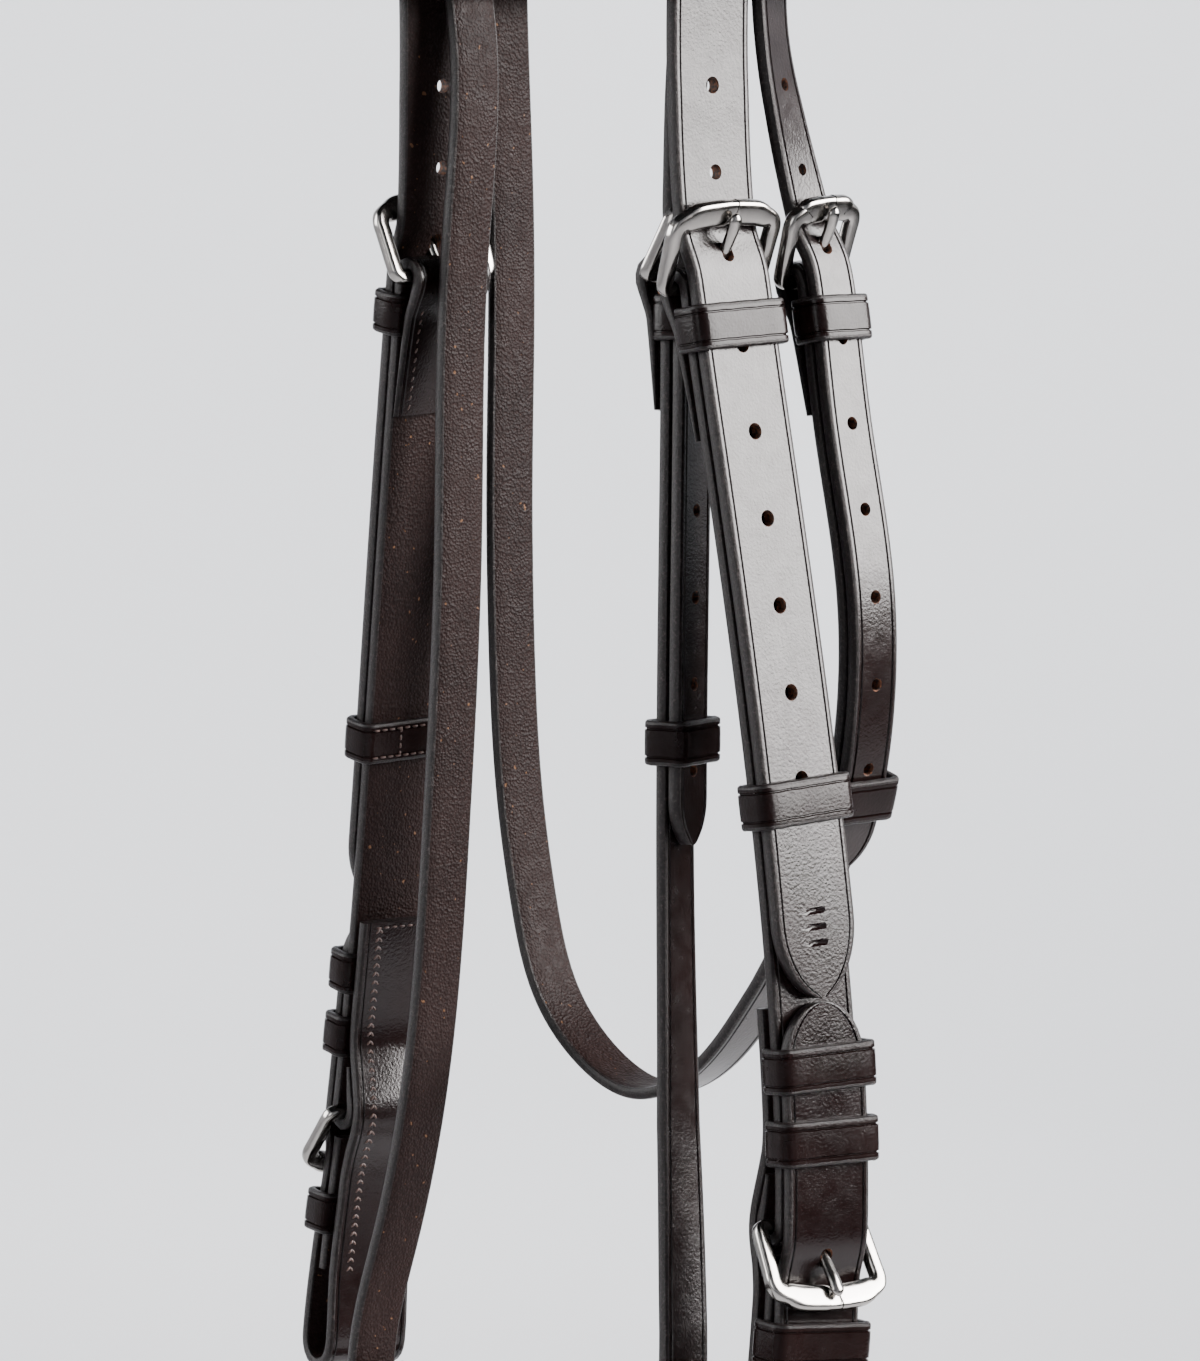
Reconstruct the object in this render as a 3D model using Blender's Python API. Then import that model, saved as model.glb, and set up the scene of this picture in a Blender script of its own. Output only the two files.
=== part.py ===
"""Snaffle bridle headstall, hanging as it would on a horse's head, without bit and reins.

Metres, +Z up.  +X is the horse's near (left) side, -Y the nose, and the origin lies under
the middle of the noseband strap that passes over the poll.  Every strap follows a route: a
smooth curve with the strap's outward direction.  A layer of leather is a path along a route,
as pairs of length along it and distance outward from it.
"""
import math

import bmesh
import bpy
import numpy as np
from mathutils import Matrix, Vector

MM = 0.001

# Leather
CHEEK_WIDTH = 22 * MM
SLIM_WIDTH = 13 * MM
BILLET_THICK = 3.0 * MM
PLY_THICK = 2.8 * MM
BIT_THICK = 2.6 * MM
NOSE_WIDTH = 32 * MM
NOSE_THICK = 4.5 * MM
NOSE_NEAR_END = 26 * MM
NOSE_OFF_END = 58 * MM
NOSE_FLARE = 28 * MM
BROW_WIDTH = 22 * MM
BROW_THICK = 2.4 * MM
GAP = 0.35 * MM
CROWN_SLIT = 1.4 * MM
THROAT_SHIFT = 18.9 * MM
SPLIT_HEIGHT = -28 * MM
POLL_FACE = 12 * MM

# Layers, outward from the face where the inner and the outer ply meet
PLY_OUT = -1.55 * MM
BILLET_OUT = 1.75 * MM
BAR_OUT = -4.85 * MM
WRAP_RADIUS = 3.3 * MM

# Buckles and keepers
BAR_RADIUS = 1.6 * MM
BUCKLE_LONG = 16.7 * MM
BUCKLE_TILT = math.radians(30)
OUTER_BAR_WIDE = 4.8 * MM
OUTER_BAR_THICK = 3.0 * MM
SIDE_WIDE = 3.4 * MM
PRONG_RADIUS = 1.1 * MM
PRONG_CURL = 3.0 * MM
KEEPER_TALL = 10 * MM
KEEPER_THICK = 2.0 * MM
KEEPER_BACK = 0.8 * MM
RUNNER_ROOM = 0.7 * MM
HOLE_RADIUS = 1.8 * MM
PRONG_SLOT_WIDE = 4.4 * MM
TIP_REACH = 0.78
TIP_BLUNT = 0.16

# Heights
TOP_BUCKLE = -114.5 * MM
BIT_BUCKLE = -318 * MM
NOSE_BUCKLE = -113 * MM
THROAT_BUCKLE = -113.5 * MM
CHEEK_TIP = -268.5 * MM
BIT_TIP = -269.5 * MM
LINING_TOP = -273 * MM
STITCH_END = -357 * MM
FOLD_BOTTOM = -381 * MM
FIRST_HOLE = -71.7 * MM
HOLE_STEP = 18.7 * MM
BROW_LOW = -51 * MM

LEATHER = (0.035, 0.018, 0.014)
STEEL = (0.62, 0.61, 0.60)


# ---------------------------------------------------------------- routes

def spline_slopes(knots, values):
    """Slopes of the natural cubic spline through the values."""
    count = len(knots)
    step = np.diff(knots)
    matrix = np.zeros((count, count))
    right = np.zeros_like(values)
    rise = np.diff(values, axis=0) / step[:, None]
    for i in range(1, count - 1):
        matrix[i, i - 1] = step[i]
        matrix[i, i] = 2 * (step[i - 1] + step[i])
        matrix[i, i + 1] = step[i - 1]
        right[i] = 3 * (step[i] * rise[i - 1] + step[i - 1] * rise[i])
    matrix[0, :2] = (2, 1)
    matrix[-1, -2:] = (1, 2)
    right[0] = 3 * rise[0]
    right[-1] = 3 * rise[-1]
    return np.linalg.solve(matrix, right)


def spline_samples(points, per_span=16):
    """Points along the natural cubic spline through the given points."""
    points = np.array(points, float)
    steps = np.linalg.norm(np.diff(points[:, :3], axis=0), axis=1)
    knots = np.concatenate([[0.0], np.cumsum(steps)])
    slopes = spline_slopes(knots, points)
    samples = []
    for i in range(len(points) - 1):
        width = knots[i + 1] - knots[i]
        for t in np.arange(per_span) / per_span:
            h00 = 2 * t ** 3 - 3 * t ** 2 + 1
            h10 = t ** 3 - 2 * t ** 2 + t
            h01 = 3 * t ** 2 - 2 * t ** 3
            h11 = t ** 3 - t ** 2
            samples.append(h00 * points[i] + h01 * points[i + 1]
                           + width * (h10 * slopes[i] + h11 * slopes[i + 1]))
    samples.append(points[-1])
    return np.array(samples)


class Route:
    """Curve through (x, y, z, outward x, y, z), given in millimetres, that a strap follows."""

    def __init__(self, points, front_sign=1):
        rows = np.array(points, float)
        rows[:, :3] *= MM
        samples = spline_samples(rows)
        samples[:, 2] = np.minimum(samples[:, 2], rows[:, 2].max())
        self.places = samples[:, :3]
        self.outs = samples[:, 3:]
        steps = np.linalg.norm(np.diff(self.places, axis=0), axis=1)
        self.lengths = np.concatenate([[0.0], np.cumsum(steps)])
        self.front_sign = front_sign

    def place(self, s):
        return np.array([np.interp(s, self.lengths, self.places[:, k]) for k in range(3)])

    def frame(self, s):
        """Point, direction along, direction outward and direction across at length s."""
        reach = 1.5 * MM
        along = self.place(s + reach) - self.place(s - reach)
        along /= np.linalg.norm(along)
        out = np.array([np.interp(s, self.lengths, self.outs[:, k]) for k in range(3)])
        out -= out.dot(along) * along
        out /= np.linalg.norm(out)
        across = self.front_sign * np.cross(along, out)
        return self.place(s), along, out, across

    def at_height(self, height):
        """Length at which the route, followed downward from its start, reaches a height."""
        lowest = int(np.argmin(self.places[:, 2]))
        heights = self.places[:lowest + 1, 2]
        return float(np.interp(-height, -heights, self.lengths[:lowest + 1]))

    def point(self, s, n):
        place, _, out, _ = self.frame(s)
        return place + n * out


ARCH_HALF_FLAT = 15
ARCH_CORNER = -26.8


def arch(radius, y):
    """Quarter of the arch over the poll: flat in the middle, then a round corner."""
    points = [(0, y, ARCH_CORNER + radius, 0, 0, 1)]
    for degrees in (0, 30, 60, 90):
        turn = math.radians(degrees)
        points.append((ARCH_HALF_FLAT + radius * math.sin(turn), y,
                       ARCH_CORNER + radius * math.cos(turn), math.sin(turn), 0, math.cos(turn)))
    return points


def mirrored(points, side):
    """The same points on the near (+1) or off (-1) side."""
    return [(side * x, y, z, side * a, b, c) for x, y, z, a, b, c in points]


def cheek_route(side):
    """From the poll down a cheek to the fold that holds the bit."""
    twist = side * 0.105
    lower = [(47, 0, -45, 1, 0, 0), (46.8, 0, -68, 1, 0, 0), (57.7, 2.3, -150, 1, 0, 0),
             (72.5, 5.7, -243, 1, -twist / 2, 0), (78.2, 5.6, -289, 1, -twist, 0),
             (81.5, 3.1, -326, 1, -twist, 0), (83, -2, -368, 1, -twist, 0),
             (83, -4, -395, 1, -twist, 0)]
    return Route(mirrored(arch(32, 0) + lower, side), side)


def nose_route(side):
    """From the poll down the noseband's cheek strap and past the nosepiece."""
    near = side > 0
    turn = 0.31 if near else 0.0
    buckle_spot = (34, 5.1, -112, 1, turn, 0) if near else (39, 1, -112, 1, 0, 0)
    lower = [(41.5, 3, -42, 1, 0, 0), (38, 3, -62, 1, turn / 2, 0), buckle_spot,
             (39.8, -0.5, -178, 1, turn, 0), (41.8, -2.7, -243, 1, turn, 0),
             (46.2, -5.6, -303, 1, turn / 2, 0), (51.9, -10.6, -343, 1, 0, 0),
             (55.9, -14.4, -368, 1, 0, 0), (56, -15.5, -390, 1, 0, 0),
             (56, -15.5, -430, 1, 0, 0)]
    return Route(mirrored(arch(28.3, 3) + lower, side), side)


def throat_route():
    """From the poll down the near side, under the throat and up the off side."""
    near = [(46, 18.6, -48, 1, 0.35, 0), (47.5, 20.3, -72, 1, 0.35, 0),
            (53, 27.5, -108, 1, 0.1, 0), (60, 28, -145, 1, 0, 0), (66.5, 29, -180, 1, 0, 0),
            (65.5, 30, -212, 1, 0, 0), (58, 30, -240, 1, 0, -0.4), (45, 28, -265, 1, 0, -0.8),
            (34, 28, -279, 0.7, 0, -1), (18, 27, -296, 0.5, 0, -1), (0, 25.5, -304, 0, 0, -1),
            (-18, 25.2, -300, -0.5, 0, -1), (-33.4, 24, -286, -1, 0, -0.8),
            (-41, 23, -264, -1, 0, -0.3), (-44.6, 22, -241, -1, 0, 0),
            (-46.6, 21, -203, -1, 0, 0), (-47.6, 21.3, -165, -1, 0, 0),
            (-48.4, 22.6, -128, -1, 0, 0), (-48.6, 22.6, -100, -1, 0, 0),
            (-47.6, 20.4, -64, -1, 0, 0), (-47, 18.9, -30, -1, 0, 0)]
    return Route(arch(32, THROAT_SHIFT / MM) + near)


def chin_route():
    """From the near cheek backward under the jaw to the off cheek."""
    near = [(57.3, -7.5, -395.5, 1, 0, 0), (57.8, 20, -397.8, 1, 0, 0),
            (58, 42, -399.7, 1, 0, 0), (57.6, 58, -401.2, 1, 0.1, 0),
            (51.5, 71.5, -404.5, 0.8, 0.6, 0), (37, 81, -408, 0.4, 0.9, 0),
            (19, 86.5, -410.5, 0.2, 1, 0)]
    off = [(-x, y, z, -a, b, c) for x, y, z, a, b, c in reversed(near)]
    return Route(near + [(0, 88, -411.5, 0, 1, 0)] + off)


def nose_piece_route():
    """Level curve round the nose, from behind the near cheek to behind the off cheek."""
    near = [(51.6, 10, -397, 1, 0, 0), (52, 0, -396, 1, 0, 0), (52, -15, -394, 1, 0, 0),
            (50.5, -50, -387, 1, -0.15, 0), (41, -86, -377, 1, -0.8, 0.1),
            (22, -109, -369, 0.4, -1, 0.2)]
    off = [(-x, y, z, -a, b, c) for x, y, z, a, b, c in reversed(near)]
    rear = [(-51.8, 34, -400, -1, 0, 0)]
    return Route(near + [(0, -116, -366, 0, -1, 0.2)] + off + rear)


# ---------------------------------------------------------------- mesh making

def material(name, colour, metallic, roughness):
    mat = bpy.data.materials.new(name)
    mat.use_nodes = True
    shader = mat.node_tree.nodes["Principled BSDF"]
    shader.inputs["Base Color"].default_value = (*colour, 1)
    shader.inputs["Metallic"].default_value = metallic
    shader.inputs["Roughness"].default_value = roughness
    return mat


def add_object(name, bm, kind="leather"):
    """Turn a bmesh into the named object with its own material."""
    bmesh.ops.recalc_face_normals(bm, faces=bm.faces)
    mesh = bpy.data.meshes.new(name)
    bm.to_mesh(mesh)
    bm.free()
    obj = bpy.data.objects.new(name, mesh)
    bpy.context.scene.collection.objects.link(obj)
    if kind == "steel":
        mesh.materials.append(material(name, STEEL, 1.0, 0.15))
        mesh.shade_smooth()
        mesh.set_sharp_from_angle(angle=math.radians(50))
    else:
        mesh.materials.append(material(name, LEATHER, 0.0, 0.45))
    return obj


def loft(bm, rings, closed=False):
    """Skin a row of rings of points, with end caps unless the row is closed."""
    rows = [[bm.verts.new(p) for p in ring] for ring in rings]
    pairs = list(zip(rows, rows[1:]))
    if closed:
        pairs.append((rows[-1], rows[0]))
    else:
        bm.faces.new(rows[0])
        bm.faces.new(rows[-1])
    for low, high in pairs:
        for i in range(len(low)):
            j = (i + 1) % len(low)
            bm.faces.new((low[i], low[j], high[j], high[i]))


def arc_path(s, n, radius, start, end, steps=5):
    """Pairs (s, n) on an arc; 0 degrees points outward and 90 degrees along the route."""
    pairs = []
    for i in range(steps + 1):
        turn = math.radians(start + (end - start) * i / steps)
        pairs.append((s + radius * math.sin(turn), n + radius * math.cos(turn)))
    return pairs


def fill_path(path, step=9 * MM):
    """Add stations between far-apart ones; each is (s, n, thickness)."""
    full = [path[0]]
    for a, b in zip(path, path[1:]):
        count = max(1, int(abs(b[0] - a[0]) / step))
        for i in range(1, count + 1):
            t = i / count
            full.append(tuple(a[k] + (b[k] - a[k]) * t for k in range(3)))
    return full


def with_thickness(pairs, thickness):
    return [p if len(p) == 3 else (*p, thickness) for p in pairs]


def ply_rings(route, path, width, tips=(), shift=0.0):
    """Rectangular sections of a strap along a path of (s, n, thickness)."""
    spots = [Vector(route.point(s, n)) for s, n, _ in path]
    run = [0.0]
    for a, b in zip(spots, spots[1:]):
        run.append(run[-1] + (b - a).length)
    rings = []
    for i, (s, _, thick) in enumerate(path):
        before = spots[max(i - 1, 0)]
        after = spots[min(i + 1, len(spots) - 1)]
        across = Vector(route.frame(s)[3])
        along = (after - before).normalized()
        normal = along.cross(across).normalized()
        wide = width
        for end in tips:
            left = run[i] if end == "start" else run[-1] - run[i]
            wide = min(wide, tip_width(left, width))
        half = across * wide / 2
        up = normal * thick / 2
        centre = spots[i] + across * shift
        rings.append([centre - half - up, centre + half - up, centre + half + up,
                      centre - half + up])
    return rings


def tip_width(left, width):
    """Width of a pointed strap end at a distance from its tip."""
    reach = TIP_REACH * width
    if left >= reach:
        return width
    return width * (TIP_BLUNT + (1 - TIP_BLUNT) * (1 - (1 - left / reach) ** 2) ** 0.62)


def strap(name, route, path, width, thickness, tips=(), shift=0.0):
    """One layer of leather as a closed solid."""
    path = fill_path(with_thickness(path, thickness))
    if tips:
        path = tip_stations(path, tips, width)
    bm = bmesh.new()
    loft(bm, ply_rings(route, path, width, tips, shift))
    return add_object(name, bm)


def tip_stations(path, tips, width):
    """Close stations near a pointed end, so that the point is well drawn."""
    for end in tips:
        first, second = (path[0], path[1]) if end == "start" else (path[-1], path[-2])
        sign = 1 if second[0] > first[0] else -1
        extra = [(first[0] + sign * width * part, first[1], first[2])
                 for part in (0.04, 0.14, 0.3, 0.5, 0.78)]
        inner = [p for p in path if sign * (p[0] - first[0]) > width]
        ordered = [first] + extra
        path = ordered + inner if end == "start" else inner + ordered[::-1]
    return path


def cutter(name, bm):
    """A hidden solid that a Boolean subtracts."""
    bmesh.ops.recalc_face_normals(bm, faces=bm.faces)
    mesh = bpy.data.meshes.new(name)
    bm.to_mesh(mesh)
    bm.free()
    obj = bpy.data.objects.new(name, mesh)
    bpy.context.scene.collection.objects.link(obj)
    obj.hide_render = True
    obj.display_type = "WIRE"
    return obj


def oval_prism(bm, centre, long_axis, across, depth_axis, length, width, depth):
    """A slot-shaped prism: round ends on the long axis."""
    sides = []
    reach = max(length - width, 0) / 2
    for i in range(8):
        turn = math.radians(22.5 + 45 * i)
        along = math.sin(turn) * width / 2 + (reach if math.sin(turn) > 0 else -reach)
        sides.append(centre + long_axis * along + across * (math.cos(turn) * width / 2))
    low = [p - depth_axis * depth / 2 for p in sides]
    high = [p + depth_axis * depth / 2 for p in sides]
    loft(bm, [low, high])


def cut_holes(obj, route, holes):
    """Cut holes (s, n, length, width) through a strap, along the outward direction."""
    bm = bmesh.new()
    for s, n, length, width in holes:
        place, along, out, across = (Vector(v) for v in route.frame(s))
        oval_prism(bm, place + n * out, along, across, out, length, width, 6 * MM)
    subtract(obj, cutter(obj.name + "_holes", bm))


def subtract(obj, tool):
    cut = obj.modifiers.new("cut", "BOOLEAN")
    cut.operation = "DIFFERENCE"
    cut.solver = "EXACT"
    cut.object = tool


# ---------------------------------------------------------------- buckle, prong, keeper

def buckle_matrix(route, s, heading, bar_out=BAR_OUT):
    """Frame of a buckle: X across, Y from the pivot bar to the outer bar, Z outward."""
    place, along, out, across = (Vector(v) for v in route.frame(s))
    away = -heading * along
    reach = away * math.cos(BUCKLE_TILT) + out * math.sin(BUCKLE_TILT)
    face = out * math.cos(BUCKLE_TILT) - away * math.sin(BUCKLE_TILT)
    side = reach.cross(face)
    origin = place + out * bar_out
    matrix = Matrix((side, reach, face)).transposed().to_4x4()
    matrix.translation = origin
    return matrix


def frame_outline(strap_width):
    """Stations round a buckle: (x, y, half width, half thickness) of the metal."""
    half = strap_width / 2 + 0.9 * MM + SIDE_WIDE / 2
    bar = BAR_RADIUS
    side = SIDE_WIDE / 2
    outer = OUTER_BAR_WIDE / 2
    thick = OUTER_BAR_THICK / 2
    flare = 0.5 * MM
    corner = 2.2 * MM
    bulge = 0.055 * strap_width
    right = [(0, 0, bar, bar), (half - 2.4 * corner / 2, 0, bar, bar),
             (half - 0.3 * corner, 0.3 * corner, side, bar),
             (half, corner * 1.2, side, thick), (half + flare, BUCKLE_LONG - 1.6 * corner, side, thick),
             (half + flare - 0.4 * corner, BUCKLE_LONG - 0.45 * corner, 1.1 * side, thick),
             (half + flare - 1.5 * corner, BUCKLE_LONG, outer, thick),
             (half * 0.45, BUCKLE_LONG + bulge * 0.8, outer, thick),
             (0, BUCKLE_LONG + bulge, outer, thick)]
    left = [(-x, y, w, t) for x, y, w, t in right[-2:0:-1]]
    return right + left


def buckle_frame(name, matrix, strap_width, sides=6):
    """The frame with its pivot bar, as one ring of metal."""
    stations = frame_outline(strap_width)
    rings = []
    count = len(stations)
    for i, (x, y, wide, thick) in enumerate(stations):
        before = stations[i - 1]
        after = stations[(i + 1) % count]
        along = Vector((after[0] - before[0], after[1] - before[1], 0)).normalized()
        away = Vector((along.y, -along.x, 0))
        ring = []
        for k in range(sides):
            turn = 2 * math.pi * (k + 0.5) / sides
            ring.append(Vector((x, y, 0)) + away * wide * math.cos(turn)
                        + Vector((0, 0, thick * math.sin(turn))))
        rings.append(ring)
    bm = bmesh.new()
    loft(bm, rings, closed=True)
    obj = add_object(name, bm, "steel")
    obj.matrix_world = matrix
    return obj


def prong_path():
    """Centre line of the prong in the buckle's frame: a curl round the bar, then the tongue."""
    curl = [(PRONG_CURL * math.cos(math.radians(a)), PRONG_CURL * math.sin(math.radians(a)))
            for a in range(-285, 20, 38)]
    curl.append((PRONG_CURL * math.cos(0.42), PRONG_CURL * math.sin(0.42)))
    over = OUTER_BAR_THICK / 2 + GAP + PRONG_RADIUS
    tongue = [(7.8 * MM, 1.55 * MM), (11.5 * MM, 2.35 * MM), (BUCKLE_LONG - 2 * MM, over + 0.15 * MM),
              (BUCKLE_LONG + 1.2 * MM, over), (BUCKLE_LONG + 3.2 * MM, over - 0.5 * MM)]
    return curl + tongue


def prong(name, frame_obj, sides=6):
    """The tongue, hinged on the pivot bar."""
    path = prong_path()
    rings = []
    for i, (y, z) in enumerate(path):
        before = path[max(i - 1, 0)]
        after = path[min(i + 1, len(path) - 1)]
        along = Vector((0, after[0] - before[0], after[1] - before[1])).normalized()
        away = Vector((0, -along.z, along.y))
        radius = PRONG_RADIUS * (0.6 if i == len(path) - 1 else 1.0)
        rings.append([Vector((0, y, z))
                      + Vector((1, 0, 0)) * radius * math.cos(2 * math.pi * k / sides)
                      + away * radius * math.sin(2 * math.pi * k / sides) for k in range(sides)])
    bm = bmesh.new()
    loft(bm, rings)
    obj = add_object(name, bm, "steel")
    obj.parent = frame_obj
    return obj


def rounded_box(half_wide, low, high, corner, per_corner=2):
    """Outline (across, out) of a rectangle with round corners."""
    points = []
    centres = ((half_wide - corner, high - corner, 0), (-half_wide + corner, high - corner, 90),
               (-half_wide + corner, low + corner, 180), (half_wide - corner, low + corner, 270))
    for x, y, start in centres:
        for i in range(per_corner + 1):
            turn = math.radians(start + 90 * i / per_corner)
            points.append((x + corner * math.cos(turn), y + corner * math.sin(turn)))
    return points


def keeper(name, route, s, low, high, width, room=GAP, back=KEEPER_BACK, tall=KEEPER_TALL):
    """A leather loop round the layers between two distances outward."""
    half = width / 2 + room
    inner = rounded_box(half, low - room, high + room, 0.5 * MM)
    outer = rounded_box(half + KEEPER_THICK, low - room - back, high + room + KEEPER_THICK,
                        min(1.3 * MM, back + 0.5 * MM))
    rings = []
    for offset, outline in ((-1, outer), (1, outer), (1, inner), (-1, inner)):
        place, along, out, across = (Vector(v) for v in route.frame(s))
        base = place + along * offset * tall / 2
        rings.append([base + across * x + out * y for x, y in outline])
    bm = bmesh.new()
    loft(bm, rings, closed=True)
    return add_object(name, bm)


def wrap_path(s, heading, tail):
    """A ply's turned end: skived tail behind, round the pivot bar, to the front."""
    behind = BAR_OUT - WRAP_RADIUS
    path = []
    if tail > 20 * MM:
        path += [(s + heading * tail, -3.9 * MM, 1.0 * MM), (s + heading * 16 * MM, -5.0 * MM, 1.8 * MM),
                 (s + heading * 9 * MM, -5.7 * MM, 2.0 * MM)]
    else:
        path += [(s + heading * tail, -5.6 * MM, 1.2 * MM)]
    path += [(s + heading * 4.5 * MM, -7.2 * MM, 2.3 * MM), (s + heading * 1.5 * MM, behind, PLY_THICK)]
    for d, n in arc_path(0, BAR_OUT, WRAP_RADIUS, 180, 360, 8):
        path.append((s + heading * d, n, PLY_THICK))
    path.append((s + heading * 4 * MM, PLY_OUT, PLY_THICK))
    return path


def billet_path(s, heading):
    """The outer strap's way under the outer bar and over the pivot bar."""
    return [(s - heading * d * MM, n * MM, BILLET_THICK)
            for d, n in ((22, -0.7), (14.5, -0.95), (10.5, -0.7), (7, 0.5), (3.5, 1.55), (0, 1.75))]


def slot_for_prong(obj, matrix):
    """Cut the slot that the prong needs through a turned ply."""
    bm = bmesh.new()
    low = Vector((-PRONG_SLOT_WIDE / 2, -4.7 * MM, -8 * MM))
    high = Vector((PRONG_SLOT_WIDE / 2, 9 * MM, 7 * MM))
    corners = [(low.x, low.y), (high.x, low.y), (high.x, high.y), (low.x, high.y)]
    loft(bm, [[matrix @ Vector((x, y, z)) for x, y in corners] for z in (low.z, high.z)])
    subtract(obj, cutter(obj.name + "_slot_" + str(round(matrix.translation.z / MM)), bm))


def buckle_set(prefix, route, s, heading, width):
    """A buckle frame and its prong on a pivot bar; returns the bar's matrix."""
    matrix = buckle_matrix(route, s, heading)
    frame_obj = buckle_frame(prefix + "_buckle_frame", matrix, width)
    prong(prefix + "_buckle_prong", frame_obj)
    return matrix


def prong_hole(s, heading):
    """The billet's hole that the prong stands in, long enough for it to lift."""
    return (s - heading * 5.7 * MM, 0.9 * MM, 8.6 * MM, 4.0 * MM)


# ---------------------------------------------------------------- headpiece

def crown_rings(cheeks, heights):
    """Sections of the crown over the poll: four points across, outer and inner face."""
    front = CHEEK_WIDTH / 2
    edges = (front, -front, -front - CROWN_SLIT, -front - CROWN_SLIT - SLIM_WIDTH)
    rings = []
    for side, s in heights:
        place, _, out, across = (Vector(v) for v in cheeks[side].frame(s))
        up = out * BILLET_THICK / 2
        rings.append(([place + across * e + up for e in edges],
                      [place + across * e - up for e in edges]))
    return rings


def skin_tail(bm, start, rings):
    """Continue a strap from four existing points through more sections."""
    last = start
    for ring in rings:
        row = [bm.verts.new(p) for p in ring]
        for i in range(4):
            bm.faces.new((last[i], last[(i + 1) % 4], row[(i + 1) % 4], row[i]))
        last = row
    bm.faces.new(last)


def billet_rings(route, path, width):
    """Sections of a billet in the crown's order of points, narrowing to its tip."""
    rings = ply_rings(route, path, width, ("end",))
    return [[Vector(p) for p in ring] for ring in rings]


def matched(start_points, rings):
    """Order each ring's points so that they face the crown's points."""
    first = rings[0]
    best = min(range(8), key=lambda k: mismatch(start_points, reordered(first, k)))
    return [reordered(ring, best) for ring in rings]


def reordered(ring, k):
    turned = ring[k % 4:] + ring[:k % 4]
    return turned if k < 4 else turned[::-1]


def mismatch(points, ring):
    return sum((Vector(a) - Vector(b)).length for a, b in zip(points, ring))


def headpiece(cheeks, throat):
    """Crown with two cheek billets, the near throat billet and the off throat stub."""
    split = {side: cheeks[side].at_height(SPLIT_HEIGHT) for side in (1, -1)}
    stations = [(1, split[1] * t) for t in (1, 0.86, 0.72, 0.58, 0.44, 0.3)]
    stations += [(1, 0.0)] + [(-1, s) for _, s in reversed(stations)]
    bm = bmesh.new()
    rows = []
    for top, low in crown_rings(cheeks, stations):
        rows.append(([bm.verts.new(p) for p in top], [bm.verts.new(p) for p in low]))
    for (top_a, low_a), (top_b, low_b) in zip(rows, rows[1:]):
        for i in range(3):
            bm.faces.new((top_a[i], top_a[i + 1], top_b[i + 1], top_b[i]))
            bm.faces.new((low_a[i], low_a[i + 1], low_b[i + 1], low_b[i]))
        for i in (0, 3):
            bm.faces.new((top_a[i], top_b[i], low_b[i], low_a[i]))
    for side, (top, low) in ((1, rows[0]), (-1, rows[-1])):
        bm.faces.new((top[1], top[2], low[2], low[1]))
        add_cheek_tail(bm, cheeks[side], split[side], [top[0], top[1], low[1], low[0]])
    near_throat = [rows[0][0][2], rows[0][0][3], rows[0][1][3], rows[0][1][2]]
    add_throat_tail(bm, throat, near_throat)
    off_throat = [rows[-1][0][2], rows[-1][0][3], rows[-1][1][3], rows[-1][1][2]]
    add_throat_stub(bm, throat, off_throat)
    obj = add_object("headpiece", bm)
    cut_cheek_holes(obj, cheeks)
    cut_throat_holes(obj, throat)
    return obj


def billet_stations(route, start, pivot, tip, width, lead=12):
    """Stations of a billet from the crown to its tip, through its buckle."""
    path = [(start + lead * MM, 0.0, BILLET_THICK), (start + 2 * lead * MM, 0.0, BILLET_THICK)]
    path += billet_path(pivot, 1)
    path += [(tip - width, BILLET_OUT, BILLET_THICK)]
    path = fill_path(path, 12 * MM)
    path += [(tip - width * part, BILLET_OUT, BILLET_THICK) for part in (0.8, 0.55, 0.35, 0.18, 0.07, 0)]
    return path


def add_cheek_tail(bm, route, start, corners):
    pivot = route.at_height(TOP_BUCKLE)
    path = billet_stations(route, start, pivot, route.at_height(CHEEK_TIP), CHEEK_WIDTH)
    rings = billet_rings(route, path, CHEEK_WIDTH)
    skin_tail(bm, corners, matched([v.co for v in corners], rings))


def add_throat_tail(bm, route, corners):
    pivot = route.at_height(THROAT_BUCKLE)
    start = route.at_height(SPLIT_HEIGHT)
    tip = pivot + 133 * MM
    path = billet_stations(route, start, pivot, tip, SLIM_WIDTH, 10)
    rings = billet_rings(route, path, SLIM_WIDTH)
    skin_tail(bm, corners, matched([v.co for v in corners], rings))


def off_splice(route):
    """Length along the throat route of the splice inside the off browband loop."""
    heights = route.places[:, 2]
    lowest = int(np.argmin(heights))
    return float(np.interp(BROW_LOW + BROW_WIDTH / 2, heights[lowest:], route.lengths[lowest:]))


def add_throat_stub(bm, route, corners):
    end = off_splice(route) + GAP
    path = [(end + 4 * MM, 0.0, BILLET_THICK), (end, 0.0, BILLET_THICK)]
    rings = ply_rings(route, path, SLIM_WIDTH)
    skin_tail(bm, corners, matched([v.co for v in corners], rings))


def cut_cheek_holes(obj, cheeks):
    for route in cheeks.values():
        pivot = route.at_height(TOP_BUCKLE)
        holes = [prong_hole(pivot, 1)]
        for i in range(9):
            if i != 2:
                s = route.at_height(FIRST_HOLE - i * HOLE_STEP)
                out = 0.0 if i < 2 else BILLET_OUT
                holes.append((s, out, 2 * HOLE_RADIUS, 2 * HOLE_RADIUS))
        cut_holes(obj, route, holes)


def cut_throat_holes(obj, route):
    pivot = route.at_height(THROAT_BUCKLE)
    holes = [prong_hole(pivot, 1)]
    for i in range(9):
        if i != 2:
            s = pivot + (i - 2) * 19 * MM - 5 * MM
            out = 0.0 if i < 2 else BILLET_OUT
            holes.append((s, out, 1.6 * HOLE_RADIUS, 1.6 * HOLE_RADIUS))
    cut_holes(obj, route, holes)


# ---------------------------------------------------------------- cheekpieces and bit ends

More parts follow.
